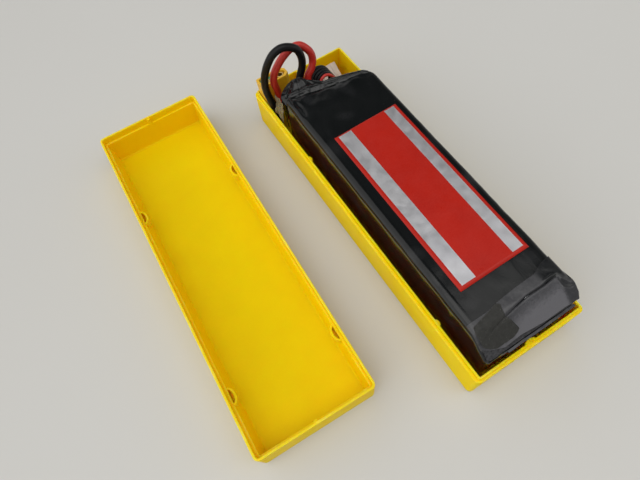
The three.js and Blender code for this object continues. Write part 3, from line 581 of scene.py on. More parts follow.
def outer_edge(inset, top):
    """Edge whose wall is on its low inset side."""
    arc = arc_points((inset + RIM_EDGE, top - RIM_EDGE), RIM_EDGE, 1 / 2, 1 / 4, RIM_STEPS)
    return [(inset, top - RIM_EDGE - WEAR_AND_HIGHLIGHT_REACH, 0.0)] + [(place, height, 1.0) for place, height in arc]


def inner_edge(inset, top):
    """Edge whose wall is on its high inset side."""
    arc = arc_points((inset - RIM_EDGE, top - RIM_EDGE), RIM_EDGE, 1 / 4, 0, RIM_STEPS)
    return [(place, height, 1.0) for place, height in arc] + [(inset, top - RIM_EDGE - WEAR_AND_HIGHLIGHT_REACH, 0.0)]


def floor_section(inset):
    centre = (inset + FLOOR_EDGE, FLOOR + FLOOR_EDGE)
    arc = arc_points(centre, FLOOR_EDGE, 1 / 2, 3 / 4, FILLET_STEPS)
    return [(place, height, 0.0) for place, height in arc]


def rib(half_wide, deep, low, straight, high, rounded=True):
    """Upright bar with an elliptic section, tapering to almost nothing below, as points and faces."""
    levels = [(low, RIB_TIP_SHARE), (straight, 1.0)]
    if rounded:
        levels += [
            (high - RIM_EDGE * (1 - math.sin(angle)), 1 - RIM_EDGE / deep * (1 - math.cos(angle)))
            for angle in (0.0, math.pi / 6, math.pi / 3, math.pi / 2)
        ]
    else:
        levels.append((high, 1.0))
    points = []
    for height, share in levels:
        for index in range(RIB_SIDES):
            angle = 2 * math.pi * index / RIB_SIDES
            across = deep * share * math.cos(angle)
            points.append((across, half_wide * share * math.sin(angle), height))
    faces = grid_faces(len(levels), RIB_SIDES, closed=True)
    faces.append(tuple(reversed(range(RIB_SIDES))))
    first = RIB_SIDES * (len(levels) - 1)
    faces.append(tuple(range(first, first + RIB_SIDES)))
    return points, faces


def half_socket(side, half_wide, deep, low, high):
    """D-shaped bar whose flat face lies at zero, its round face towards the inside."""
    points, faces = rib(half_wide, deep, low, low + HAIR, high, False)
    return [(-side * max(0.0, -side * x), y, z) for x, y, z in points], faces


def placed_rib(shape, x, y, quarter=False):
    points, faces = shape
    if quarter:
        points = [(-py, px, pz) for px, py, pz in points]
    points = [(px + x, py + y, pz) for px, py, pz in points]
    return piece_of("rib", points, faces, [YELLOW], paint={"edge": [0.0] * len(points)})


SIDES = (-1, 1)
LONG_SNAPS = [(side, share * CASE_LENGTH) for side in SIDES for share in SNAP_SHARES]


def make_base_tray():
    top = BASE_HEIGHT + LIP_HEIGHT
    wall = LIP_INSET + LIP_THICKNESS
    section = foot_section() + outer_edge(0.0, BASE_HEIGHT)
    section += [(LIP_INSET, BASE_HEIGHT, LIP_WEAR_AND_HIGHLIGHT)]
    section += outer_edge(LIP_INSET, top) + inner_edge(wall, top) + floor_section(wall)
    tray = swept_tray("base_tray_shell", section)
    inner_x = CASE_WIDTH / 2 - wall
    inner_y = CASE_LENGTH / 2 - wall
    low = top - NUB_TALL
    for side, y in LONG_SNAPS:
        nub = rib(NUB_HALF, NUB_DEEP, low - NUB_DEEP, low, top - HAIR)
        combined(tray, placed_rib(nub, side * (inner_x + HAIR), y), "UNION")
    low = top - BACKING_TALL
    for side in SIDES:
        backing = rib(BACKING_HALF, BACKING_DEEP, low - BACKING_DEEP, low, top - HAIR)
        combined(tray, placed_rib(backing, 0.0, side * (inner_y + HAIR), True), "UNION")
    radius = PEG_RADIUS + NOTCH_CLEAR
    for side in SIDES:
        notch = rib(radius, radius, BASE_HEIGHT + HAIR, BASE_HEIGHT + 2 * HAIR, top + RIM_WALL, False)
        combined(tray, placed_rib(notch, 0.0, side * (CASE_LENGTH / 2 - RIM_WALL)), "DIFFERENCE")
    return tray


def make_cover_tray():
    ledge = COVER_HEIGHT - REBATE_DEPTH
    section = foot_section() + outer_edge(0.0, COVER_HEIGHT) + inner_edge(RIM_WALL, COVER_HEIGHT)
    section += [(RIM_WALL, ledge, 0.0)]
    section += inner_edge(COVER_WALL, ledge) + floor_section(COVER_WALL + COVER_DRAFT)
    tray = swept_tray("cover_tray_shell", section)
    inner_x = CASE_WIDTH / 2 - COVER_WALL
    rim_y = CASE_LENGTH / 2 - RIM_WALL
    straight = ledge - SOCKET_DEEP
    half = BOSS_HALF - SOCKET_WALL
    deep = BOSS_DEEP - SOCKET_WALL
    for side, y in LONG_SNAPS:
        boss = rib(BOSS_HALF, BOSS_DEEP, ledge - BOSS_TALL, straight, ledge - HAIR)
        combined(tray, placed_rib(boss, side * (inner_x + HAIR), y), "UNION")
        sill = straight + SOCKET_WALL
        socket = half_socket(side, half, deep, sill, ledge + RIM_WALL)
        combined(tray, placed_rib(socket, side * inner_x, y), "DIFFERENCE")
    for side in SIDES:
        peg = rib(PEG_RADIUS, PEG_RADIUS, ledge - FLOOR, ledge - RIM_WALL, COVER_HEIGHT - PEG_LAND)
        combined(tray, placed_rib(peg, 0.0, side * (rim_y - HAIR)), "UNION")
    turn = Matrix.Translation(COVER_CENTRE) @ Matrix.Rotation(COVER_TURN, 4, "Z")
    tray.data.transform(turn)
    return tray


# Cords
def route_samples(route):
    """Points along a smooth curve through the route, a centripetal Catmull-Rom spline."""
    knots = [Vector(point) for point in route]
    knots = [2 * knots[0] - knots[1]] + knots + [2 * knots[-1] - knots[-2]]
    samples = [knots[1].copy()]
    for index in range(1, len(knots) - 2):
        a, b, c, d = knots[index - 1:index + 3]
        first = math.sqrt((b - a).length)
        second = math.sqrt((c - b).length)
        third = math.sqrt((d - c).length)
        leave = ((b - a) / first - (c - a) / (first + second) + (c - b) / second) * second
        reach = ((c - b) / second - (d - b) / (second + third) + (d - c) / third) * second
        steps = max(2, round((c - b).length / CORD_STEP))
        for step in range(1, steps + 1):
            t = step / steps
            square = t * t
            cube = square * t
            samples.append(
                b * (2 * cube - 3 * square + 1)
                + leave * (cube - 2 * square + t)
                + c * (3 * square - 2 * cube)
                + reach * (cube - square)
            )
    return samples


def make_cord(name, node, route, diameter, material, slot):
    samples = route_samples(route)
    curve = bpy.data.curves.new(name, "CURVE")
    curve.dimensions = "3D"
    curve.bevel_depth = diameter / 2
    curve.bevel_resolution = CORD_ROUNDNESS
    curve.use_fill_caps = True
    spline = curve.splines.new("POLY")
    spline.points.add(len(samples) - 1)
    for point, place in zip(spline.points, samples):
        point.co = (*place, 1)
    curve.materials.append(material)
    cord = bpy.data.objects.new(name, curve)
    bpy.context.scene.collection.objects.link(cord)
    carried(cord, "battery_pack", slot, node)


def wire_route(index):
    """One wire of the ribbon, counted from its left edge."""
    place = (WIRE_COUNT - 1) / 2 - index
    route = []
    for (x, y, z), share, spacing in zip(RIBBON_ROUTE, RIBBON_HEADING_SHARES, RIBBON_SPACING):
        heading = 2 * math.pi * share
        offset = place * spacing
        route.append((x - math.sin(heading) * offset, y + math.cos(heading) * offset, z))
    return route


# Small moulded parts: a copy of the CAD solid with its flat faces joined and its edges eased
MERGE_REACH = 0.000002
FLAT_ANGLE = math.radians(1)
BEVEL_ANGLE = math.radians(35)
PART_SHARP = math.radians(40)


def eased(node, name, width, material, slot):
    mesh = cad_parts[node].data.copy()
    piece = bpy.data.objects.new(name, mesh)
    bpy.context.scene.collection.objects.link(piece)
    mesh.materials.clear()
    mesh.materials.append(material)
    work = bmesh.new()
    work.from_mesh(mesh)
    bmesh.ops.remove_doubles(work, verts=work.verts, dist=MERGE_REACH)
    bmesh.ops.dissolve_limit(
        work, angle_limit=FLAT_ANGLE, verts=work.verts, edges=work.edges, delimit=set()
    )
    sharp = [
        edge for edge in work.edges
        if len(edge.link_faces) == 2 and edge.calc_face_angle() > BEVEL_ANGLE
    ]
    bmesh.ops.bevel(
        work, geom=sharp, offset=width, segments=2, profile=0.5, affect="EDGES",
        clamp_overlap=True,
    )
    work.to_mesh(mesh)
    work.free()
    mesh.polygons.foreach_set("material_index", [0] * len(mesh.polygons))
    carried(piece, "battery_pack", slot, node)
    return crisp(piece, PART_SHARP)


# Lines on the film: creases and ridges as points, heights at both ends and a width. The near ones are
# on the flap, the others on the sleeve.
FLAP_CREASE = [
    (-0.0206, -0.0864), (-0.0188, -0.0859), (-0.0140, -0.0848), (-0.0080, -0.0836), (-0.0021, -0.0827),
    (0.0051, -0.0818), (0.0099, -0.0819), (0.0147, -0.0820), (0.0212, -0.0815),
]
NEAR_CREASES = [
    (FLAP_CREASE, (-0.0003, -0.0012), 0.00042),
    ([(0.0209, -0.0820), (0.0218, -0.0864), (0.0238, -0.0878), (0.0262, -0.0886)],
     (-0.0008, -0.0007), 0.00045),
    ([(0.0150, -0.0806), (0.0205, -0.0804)], (0.0003, 0.0004), 0.0006),
    ([(0.0215, -0.0830), (0.0232, -0.0850), (0.0250, -0.0874)], (0.0003, 0.0003), 0.0007),
    ([(-0.0020, -0.0870), (0.0080, -0.0858), (0.0150, -0.0862)], (-0.0001, -0.00014), 0.0012),
    ([(-0.0010, -0.0902), (0.0100, -0.0896), (0.0190, -0.0884)], (0.00012, 0.00018), 0.0012),
]
EDGE_CREASES = [
    ([(-0.0208, -0.0840), (-0.0211, -0.0400), (-0.0209, 0.0100), (-0.0212, 0.0560)],
     (0.00022, 0.00015), 0.0005),
]
FAR_CREASES = [
    ([(-0.0215, 0.0706), (-0.0167, 0.0694), (-0.0118, 0.0682), (-0.0020, 0.0656), (0.0036, 0.0638),
      (0.0213, 0.0600)], (0.0003, 0.0001), 0.0009),
    ([(-0.0205, 0.0672), (-0.0113, 0.0653), (-0.0018, 0.0632), (0.0072, 0.0612)],
     (-0.0006, -0.0003), 0.0009),
    ([(-0.0226, 0.0640), (-0.0218, 0.0585), (-0.0226, 0.0520)], (0.0006, 0.0003), 0.0010),
    ([(-0.0200, 0.0640), (-0.0196, 0.0590), (-0.0208, 0.0530)], (-0.0005, -0.0002), 0.0010),
]

# Loose flap of film over the near slope: its far border, its near border and its sides
FLAP_STEP = [
    (-0.0236, -0.0780), (-0.0123, -0.0780), (-0.0073, -0.0771), (-0.0010, -0.0766), (0.0025, -0.0763),
    (0.0141, -0.0761), (0.0161, -0.0752), (0.0193, -0.0741), (0.0220, -0.0736), (0.0256, -0.0731),
]
FLAP_EDGE = [
    (-0.0236, -0.0885), (-0.0206, -0.0903), (-0.0171, -0.0916), (-0.0136, -0.0927), (-0.0053, -0.0923),
    (0.0014, -0.0929), (0.0077, -0.0934), (0.0188, -0.0934), (0.0256, -0.0939), (0.0282, -0.0934),
]
FLAP_LEFT = -0.0236
FLAP_RIGHT = [
    (0.0, 0.0260), (0.1, 0.0269), (0.25, 0.0270), (0.4, 0.0265), (0.55, 0.0260), (0.7, 0.0256),
    (1.0, 0.0254),
]
EAR_LIFT = 0.0012
FLAP_LIFT = 0.00014
FLAP_THICK = 0.00024
FLAP_COLUMNS = 120
FLAP_ROWS = 84
FLAP_GAP = 0.0004
FLAP_NEAR_RADIUS = 0.0003
CORNER_GAP = 0.0024

# Fin under the flap's border
SEAM_ENDS = (-0.0130, 0.0238)
SEAM_HEIGHT = 0.0298
SEAM_REACH = (-0.0942, -0.0954)
SEAM_COLUMNS = 90
SEAM_ROWS = 7
SEAM_THICK = 0.0003
SEAM_SCUFF = 0.38
SEAM_WAVE = (0.0070, 11, 0.0002)
SEAM_DROOP = (0.0050, 12, 0.0003)

# Grids of the tape and the label, and how the tape lies on the flap
TAPE_LIFT = 0.00004
TAPE_THICK = 0.00018
TAPE_ROWS = 58
TAPE_COLUMNS = 40
LABEL_STEPS = (0.0009, 0.0016)

# Unevenness of the film: the size and seed of its broad, middle and fine rolls, their heights in
# places, and how far the sleeve is drawn in
FILM_ROLLS = [(0.016, 1), (0.0062, 2), (0.0026, 3)]
TOP_HEIGHTS = (0.00016, 0.00005)
SLEEVE_HEIGHTS = (0.00016, 0.00005, 0.00001)
END_HEIGHTS = (0.00018, 0.00007)
SIDE_HEIGHT = 0.00010
FLAP_HEIGHTS = (0.00016, 0.00012, 0.00005)
FILM_INSET = 0.00018

# Creases: how fast they fade towards their ends, and the share of the way that they reach past them
CREASE_FADE = 5
CREASE_END_SHARE = 0.04

# Where the sleeve faces up or sideways, its scuffs as noise and limits, and the steepest part of a long
# edge that the flap follows
UPPER_RISE = (0.1, 0.5)
SIDE_GAIN = 1.5
SLEEVE_SCUFF = (0.011, 4, 0.2)
SLEEVE_SCUFF_LESS = 0.05
SLEEVE_SCUFF_MOST = 0.1
STEEPEST_SHARE = 0.97

# Rises, as start and width: the sleeve under the flap, the crumpled ends and the flap's ear
UNDER_STEP = (0.0006, 0.0014)
UNDER_LEFT = (0.0004, 0.0012)
UNDER_EDGE = (-0.0022, 0.0018)
FAR_CRUMPLE = (0.048, 0.012)
NEAR_CRUMPLE = (0.080, 0.010)
EAR_ACROSS = (0.0170, 0.0080)
EAR_ALONG = (0.0810, 0.0070)

# Greyed film of the flap, above and below its crease: amounts, and rises as share, start and width.
# The grey is partly scuffed film and partly painted reflection, which leaves it darker towards the right.
# Painted shade keeps the crease itself dark, more so on the right.
GREY_ABOVE = 0.36
GREY_BELOW = 0.46
GREY_BORDER = (0.85, 0.0, 0.0095)
PAINTED_REFLECTION_ABOVE_RIGHT = (0.85, 0.0120, 0.0050)
PAINTED_REFLECTION_BELOW_RIGHT = (0.75, 0.0195, 0.0030)
LESS_BELOW_LEFT = (0.3, 0.0030, 0.0060)
CREASE_PAINTED_SHADE = 0.4
CREASE_PAINTED_SHADE_RIGHT = (0.6, -0.0060, 0.0080)
CREASE_PAINTED_SHADE_WIDTH = 0.0005

# Grid of the sleeve: the close and the wide step along it, and where the close ones are
CLOSE_STEP = 0.00036
WIDE_STEP = 0.0016
CLOSE_PAST = (-0.073, 0.052)
PROFILE_STEPS = 8
FLAT_COLUMNS = 76
SIDE_ROWS = 16
EDGE_STEPS = 4


def smooth_step(value):
    value = np.clip(value, 0.0, 1.0)
    return value * value * (3 - 2 * value)


def rise(value, start, width):
    """From 0 at the start to 1 a width further on."""
    return smooth_step((value - start) / width)


def share_of(value, share, start, width):
    return share * rise(value, start, width)


def line_height(line, x):
    line = np.array(line)
    return np.interp(x, line[:, 0], line[:, 1])


def distances(points):
    """How far each point lies along the line through them all, from 0."""
    steps = np.linalg.norm(np.diff(np.array(points), axis=0), axis=1)
    return np.concatenate([[0.0], np.cumsum(steps)])


def as_points(x, y, z):
    return np.stack([x, y, z], axis=-1).reshape(-1, 3)


def crease_field(x, y, creases):
    """Sum of the creases at each place, each fading away from its line and towards its ends."""
    total = np.zeros_like(x)
    for points, (begin, end), width in creases:
        points = np.array(points)
        along = distances(points)
        best = np.full(x.shape, np.inf)
        share = np.zeros_like(x)
        for index, length in enumerate(np.diff(along)):
            a = points[index]
            d = (points[index + 1] - a) / length
            t = np.clip((x - a[0]) * d[0] + (y - a[1]) * d[1], 0.0, length)
            gap = np.hypot(x - a[0] - d[0] * t, y - a[1] - d[1] * t)
            closer = gap < best
            best = np.where(closer, gap, best)
            share = np.where(closer, (along[index] + t) / along[-1], share)
        height = begin + (end - begin) * share
        to_end = np.minimum(share, 1 - share) + CREASE_END_SHARE
        fade = np.minimum(1.0, CREASE_FADE * to_end)
        total += height * fade * np.exp(-(best / width) ** 2)
    return total


def rolling(points, size, seed):
    """Smooth noise from -1 to 1 at each point."""
    shift = Vector((seed * 7.31, seed * 3.17, seed * 5.73))
    return np.array([noise.noise(Vector(map(float, point)) / size + shift) for point in points])


def rolled(points, size, seed, height):
    return rolling(points, size, seed) * height


def film_rolls(points, heights):
    """Sum of the broad, middle and fine rolls, as many as there are heights."""
    return sum(rolled(points, *roll, height) for roll, height in zip(FILM_ROLLS, heights))


def under_flap(x, y):
    """How far the sleeve lies back under the flap: a little everywhere, more along its near border."""
    covered = rise(line_height(FLAP_STEP, x) - y, *UNDER_STEP)
    inside = rise(x - FLAP_LEFT, *UNDER_LEFT)
    border = rise(line_height(FLAP_EDGE, x) - y, *UNDER_EDGE)
    return inside * (FLAP_GAP * covered + CORNER_GAP * border)


def top_relief(x, y):
    """Height of the film over the plain form on the pack's upper side."""
    return crease_field(x, y, EDGE_CREASES + FAR_CREASES) - under_flap(x, y)


def rounded_corner(before, corner, after, radius):
    a = (Vector(before) - Vector(corner)).normalized()
    b = (Vector(after) - Vector(corner)).normalized()
    half = a.angle(b) / 2
    centre = Vector(corner) + (a + b).normalized() * (radius / math.sin(half))
    begin = Vector(corner) + a * (radius / math.tan(half)) - centre
    end = Vector(corner) + b * (radius / math.tan(half)) - centre
    angle = begin.angle(end)
    points = []
    for index in range(PROFILE_STEPS + 1):
        t = index / PROFILE_STEPS
        turned = begin * math.sin((1 - t) * angle) + end * math.sin(t * angle)
        points.append(tuple(centre + turned / math.sin(angle)))
    return points


def pack_profile(near_radius):
    """Side view of the upper side, near to far, as rows of y and z."""
    low_near = (PACK_NEAR, PACK_LOW)
    corner = (PACK_NEAR, PACK_TOP - SLOPE_DROP)
    brow = (PACK_NEAR + SLOPE_LONG, PACK_TOP)
    far = (PACK_FAR, PACK_TOP)
    points = rounded_corner(low_near, corner, brow, near_radius)
    points += rounded_corner(corner, brow, far, BROW_RADIUS)
    points += rounded_corner(brow, far, (PACK_FAR, PACK_LOW), PACK_FAR_RADIUS)
    return np.array(points)


def stations():
    """Rows of y and upper height, close together at both ends of the pack."""
    profile = pack_profile(PACK_NEAR_RADIUS)
    along = distances(profile)
    places = [0.0]
    while places[-1] < along[-1]:
        y = np.interp(places[-1], along, profile[:, 0])
        close = y < CLOSE_PAST[0] or y > CLOSE_PAST[1]
        places.append(places[-1] + (CLOSE_STEP if close else WIDE_STEP))
    places[-1] = along[-1]
    return [(np.interp(s, along, profile[:, 0]), np.interp(s, along, profile[:, 1])) for s in places]


def between(low, high, count):
    """Places between two ends, without the ends, at count equal steps."""
    return [low + (high - low) * index / count for index in range(1, count)]


def pack_ring(half, low, top):
    """Section of the pack: top from left to right, right side down, bottom and left side up."""
    radius = min(PACK_EDGE, LEAST_EDGE_SHARE * (top - low))
    left = PACK_MIDDLE_X - half + radius
    right = PACK_MIDDLE_X + half - radius
    under = low + radius
    over = top - radius
    quarter = 2 * EDGE_STEPS
    ring = arc_points((left, over), radius, 3 / 8, 1 / 4, EDGE_STEPS)
    ring += [(x, top) for x in between(left, right, FLAT_COLUMNS)]
    ring += arc_points((right, over), radius, 1 / 4, 0, quarter)
    ring += [(PACK_MIDDLE_X + half, z) for z in between(over, under, SIDE_ROWS)]
    ring += arc_points((right, under), radius, 0, -1 / 4, quarter)
    ring += [(x, low) for x in between(right, left, FLAT_COLUMNS)]
    ring += arc_points((left, under), radius, -1 / 4, -1 / 2, quarter)
    ring += [(PACK_MIDDLE_X - half, z) for z in between(under, over, SIDE_ROWS)]
    ring += arc_points((left, over), radius, 1 / 2, 3 / 8, EDGE_STEPS)[:-1]
    return ring


def end_offset(distance, radius):
    """How far a rounded end draws in at that distance from it."""
    inside = max(0.0, radius - distance)
    return radius - math.sqrt(max(0.0, radius * radius - inside * inside))


def far_slant(x, y):
    """How far the slanted far end pulls a place along, more towards the left and the far end."""
    full = FAR_SLANT * (PACK_MIDDLE_X + PACK_HALF - x) / (2 * PACK_HALF)
    return full * rise(y, PACK_NEAR, PACK_FAR - PACK_NEAR)


def end_patch(ring, crown, direction):
    """Inner points of an end face, between its ring's top and bottom and its sides."""
    across = FLAT_COLUMNS + 2 * EDGE_STEPS
    down = SIDE_ROWS + 2 * EDGE_STEPS
    top = ring[:across + 1]
    right = ring[across:across + down + 1]
    bottom = ring[across + down:2 * across + down + 1][::-1]
    left = np.vstack([ring[2 * across + down:], ring[:1]])[::-1]
    rows = []
    for i in range(1, down):
        v = i / down
        for j in range(1, across):
            u = j / across
            edges = (1 - v) * top[j] + v * bottom[j] + (1 - u) * left[i] + u * right[i]
            corners = (
                (1 - u) * (1 - v) * top[0] + u * (1 - v) * top[-1]
                + (1 - u) * v * bottom[0] + u * v * bottom[-1]
            )
            point = edges - corners
            swell = (math.sin(math.pi * u) * math.sin(math.pi * v)) ** CROWN_POWER
            point[1] += direction * crown * swell
            rows.append(point)
    return np.array(rows)


def end_faces(first_ring, first_inner, flip):
    """Faces that join an end's inner points to its ring."""
    across = FLAT_COLUMNS + 2 * EDGE_STEPS
    down = SIDE_ROWS + 2 * EDGE_STEPS
    count = 2 * (across + down)

    def at(i, j):
        if i == 0:
            return first_ring + j
        if j == across:
            return first_ring + across + i
        if i == down:
            return first_ring + across + down + (across - j)
        if j == 0:
            return first_ring + (count - i) % count
        return first_inner + (i - 1) * (across - 1) + (j - 1)

    faces = []
    for i in range(down):
        for j in range(across):
            face = (at(i, j), at(i, j + 1), at(i + 1, j + 1), at(i + 1, j))
            faces.append(tuple(reversed(face)) if flip else face)
    return faces


MOUTH_X = (-0.0195, 0.0045)
MOUTH_Z = (0.0160, 0.0342)


def make_sleeve():
    rings = []
    for y, top in stations():
        near = y - PACK_NEAR
        far = PACK_FAR - y
        half = PACK_HALF - end_offset(near, NEAR_CORNER) - end_offset(far, FAR_CORNER)
        low = PACK_LOW + end_offset(near, END_LOW_RADIUS) + end_offset(far, END_LOW_RADIUS)
        rings.append([(x, y + far_slant(x, y), z) for x, z in pack_ring(half, low, top)])
    count = len(rings[0])
    body = np.array(rings)
    near_inner = end_patch(body[0], NEAR_CROWN, -1)
    far_inner = end_patch(body[-1], FAR_CROWN, 1)
    points = np.vstack([body.reshape(-1, 3), near_inner, far_inner])
    faces = grid_faces(len(rings), count, closed=True)
    last_ring = count * (len(rings) - 1)
    near_start = count * len(rings)
    far_start = near_start + len(near_inner)
    faces += end_faces(0, near_start, True)
    for face in end_faces(last_ring, far_start, False):
        middle = points[list(face)].mean(axis=0)
        in_mouth = MOUTH_X[0] < middle[0] < MOUTH_X[1] and MOUTH_Z[0] < middle[2] < MOUTH_Z[1]
        if not in_mouth:
            faces.append(face)
    sleeve = piece_of("pack_sleeve_film", points, faces, [FILM])
    normals = np.array([vertex.normal[:] for vertex in sleeve.data.vertices])
    x, y = points[:, 0], points[:, 1]
    push = top_relief(x, y) * rise(normals[:, 2], *UPPER_RISE)
    ends = rise(y, *FAR_CRUMPLE) + rise(-y, *NEAR_CRUMPLE)
    sides = smooth_step(np.abs(normals[:, 0]) * SIDE_GAIN)
    broad, middle, fine = SLEEVE_HEIGHTS
    middle = middle + END_HEIGHTS[0] * ends + SIDE_HEIGHT * sides
    push += film_rolls(points, (broad, middle, fine + END_HEIGHTS[1] * ends))
    moved = points + normals * (push - FILM_INSET)[:, None]
    sleeve.data.vertices.foreach_set("co", moved.reshape(-1))
    scuff = rolled(points, *SLEEVE_SCUFF) - SLEEVE_SCUFF_LESS
    paint_points(sleeve.data, "scuff", np.clip(scuff, 0.0, SLEEVE_SCUFF_MOST))
    thickened(sleeve, SLEEVE_WALL, -1)
    carried(sleeve, "battery_pack", "sleeve_black", "pack_sleeve")


def flap_scuff_and_painted_light(x, y):
    """Grey of the flap: scuffed film, with painted reflection darker on the right and painted shade in
    the crease; less above its crease, most along its near border.
    """
    below = line_height(FLAP_CREASE, x) - y
    # Painted reflection: less grey towards the right
    upper = GREY_ABOVE * (1 - share_of(x, *PAINTED_REFLECTION_ABOVE_RIGHT))
    lower = GREY_BELOW + share_of(below, *GREY_BORDER)
    lower *= (1 - share_of(x, *PAINTED_REFLECTION_BELOW_RIGHT)) * (1 - share_of(-x, *LESS_BELOW_LEFT))
    amount = np.where(below > 0, lower, upper)
    # Painted shade along the crease, darker on the right
    painted_shade = CREASE_PAINTED_SHADE + share_of(x, *CREASE_PAINTED_SHADE_RIGHT)
    return amount * (1 - painted_shade * np.exp(-(below / CREASE_PAINTED_SHADE_WIDTH) ** 2))


def plain_height(x, y, near_radius):
    """Height of the pack's plain form on the flat upper side and the near slope."""
    profile = pack_profile(near_radius)
    return np.interp(y - far_slant(x, y), profile[:, 0], profile[:, 1])


def pack_surface(x, y):
    """Height of the sleeve's outside on the flat upper side and the near slope."""
    plain = plain_height(x, y, PACK_NEAR_RADIUS)
    rolls = film_rolls(as_points(x, y, plain), TOP_HEIGHTS)
    return plain + top_relief(x, y) + rolls.reshape(x.shape) - FILM_INSET


def edge_drop(x):
    """How far the rounded long edges lie under the plain upper side."""
    past = np.abs(x - PACK_MIDDLE_X) - (PACK_HALF - PACK_EDGE)
    beyond = np.clip(past, 0.0, STEEPEST_SHARE * PACK_EDGE)
    return PACK_EDGE - np.sqrt(PACK_EDGE ** 2 - beyond ** 2)


def flap_surface(x, y):
    """Height of the flap's underside; its ear stands out past the pack instead of rounding down."""
    ear = rise(x, *EAR_ACROSS) * rise(-y, *EAR_ALONG)
    plain = plain_height(x, y, FLAP_NEAR_RADIUS)
    rolls = film_rolls(as_points(x, y, plain), FLAP_HEIGHTS)
    lift = FLAP_LIFT - FILM_INSET + EAR_LIFT * ear - edge_drop(x) * (1 - ear)
    return plain + lift + crease_field(x, y, NEAR_CREASES) + rolls.reshape(x.shape)


def film_sheet(name, x, y, z, thick, materials, slot, node=None, slots=None, paint=None):
    """Thin sheet over a grid of places, given as rows from near to far; it rides with the pack."""
    sheet = piece_of(name, as_points(x, y, z), grid_faces(*x.shape), materials, slots, paint)
    thickened(sheet, thick, 1)
    carried(sheet, "battery_pack", slot, *([node] if node else []))


def spaced(marks, step):
    """Places from the first mark to the last, with every mark among them."""
    places = [marks[0]]
    for low, high in zip(marks, marks[1:]):
        count = max(1, round((high - low) / step))
        places += [low + (high - low) * index / count for index in range(1, count + 1)]
    return places


def make_label():
    xs = spaced([LABEL_LEFT, *BAND_LEFT, *BAND_RIGHT, LABEL_RIGHT], LABEL_STEPS[0])
    ys = spaced([LABEL_NEAR, BAND_NEAR, BAND_FAR, LABEL_FAR], LABEL_STEPS[1])
    slots = []
    for y in [(low + high) / 2 for low, high in zip(ys, ys[1:])]:
        for x in [(low + high) / 2 for low, high in zip(xs, xs[1:])]:
            in_band = BAND_LEFT[0] < x < BAND_LEFT[1] or BAND_RIGHT[0] < x < BAND_RIGHT[1]
            slots.append(1 if in_band and BAND_NEAR < y < BAND_FAR else 0)
    x, y = np.meshgrid(np.array(xs), np.array(ys))
    film_sheet(
        "label_sheet", x, y, pack_surface(x, y) + LABEL_LIFT, LABEL_THICK, [RED_PRINT, SILVER_PRINT],
        "label_red", "label_panel", slots,
    )


def make_flap():
    across, share = np.meshgrid(np.linspace(0.0, 1.0, FLAP_COLUMNS), np.linspace(0.0, 1.0, FLAP_ROWS))
    x = FLAP_LEFT + (line_height(FLAP_RIGHT, share) - FLAP_LEFT) * across
    near = line_height(FLAP_EDGE, x)
    y = near + (line_height(FLAP_STEP, x) - near) * share
    film_sheet(
        "near_flap", x, y, flap_surface(x, y), FLAP_THICK, [FILM], "sleeve_black",
        paint={"scuff": flap_scuff_and_painted_light(x, y).reshape(-1)},
    )


def make_seam():
    """Fin of film that stands out from the near face, under the flap's border."""
    across = np.linspace(*SEAM_ENDS, SEAM_COLUMNS)
    x, y = np.meshgrid(across, np.linspace(SEAM_REACH[1], SEAM_REACH[0], SEAM_ROWS))
    points = as_points(x, y, 0 * x)
    y = y + rolled(points * np.array([1, 0, 1]), *SEAM_WAVE).reshape(x.shape)
    z = SEAM_HEIGHT + rolled(points, *SEAM_DROOP).reshape(x.shape)
    scuff = np.full(x.size, SEAM_SCUFF)
    film_sheet("end_seam", x, y, z, SEAM_THICK, [FILM], "sleeve_black", paint={"scuff": scuff})


TAPE_LEFT_LINE = [
    (-0.0915, -0.0171), (-0.0902, -0.0200), (-0.0885, -0.0222), (-0.0830, -0.0226), (-0.0802, -0.0220),
    (-0.0788, -0.0150), (-0.0778, -0.0100), (-0.0773, -0.0086),
]
TAPE_RIGHT_LINE = [
    (-0.0915, -0.0083), (-0.0908, -0.0058), (-0.0899, -0.0044), (-0.0858, -0.0061), (-0.0833, -0.0078),
    (-0.0800, -0.0070), (-0.0784, -0.0063), (-0.0773, -0.0076),
]


def make_tape():
    along = np.linspace(TAPE_LEFT_LINE[0][0], TAPE_LEFT_LINE[-1][0], TAPE_ROWS)
    y, share = np.meshgrid(along, np.linspace(0.0, 1.0, TAPE_COLUMNS), indexing="ij")
    left = line_height(TAPE_LEFT_LINE, y)
    x = left + (line_height(TAPE_RIGHT_LINE, y) - left) * share
    z = flap_surface(x, y) + FLAP_THICK + TAPE_LIFT
    film_sheet("tape_strip", x, y, z, TAPE_THICK, [TAPE], "tape_black", "end_tape")


# Film drawn up at the far end, as a hood over the place where the leads leave and as a lip along the
# rest: the free edge, the root on the sleeve, both from right to left, and the skirt's length below
HOOD_EDGE = [
    (-0.0020, 0.0683, 0.0411), (-0.0042, 0.0697, 0.0417), (-0.0066, 0.0711, 0.0424),
    (-0.0089, 0.0730, 0.0429), (-0.0115, 0.0758, 0.0430), (-0.0157, 0.0770, 0.0414),
    (-0.0198, 0.0765, 0.0396), (-0.0231, 0.0743, 0.0376), (-0.0246, 0.0705, 0.0358),
]
HOOD_ROOT = [
    (-0.0020, 0.0633, 0.0399), (-0.0042, 0.0637, 0.0400), (-0.0066, 0.0641, 0.0400),
    (-0.0090, 0.0648, 0.0400), (-0.0120, 0.0656, 0.0400), (-0.0156, 0.0664, 0.0399),
    (-0.0192, 0.0670, 0.0396), (-0.0218, 0.0672, 0.0388), (-0.0238, 0.0666, 0.0368),
]
HOOD_SKIRT = [0.0030, 0.0030, 0.0026, 0.0022, 0.0022, 0.0080, 0.0150, 0.0180, 0.0180]
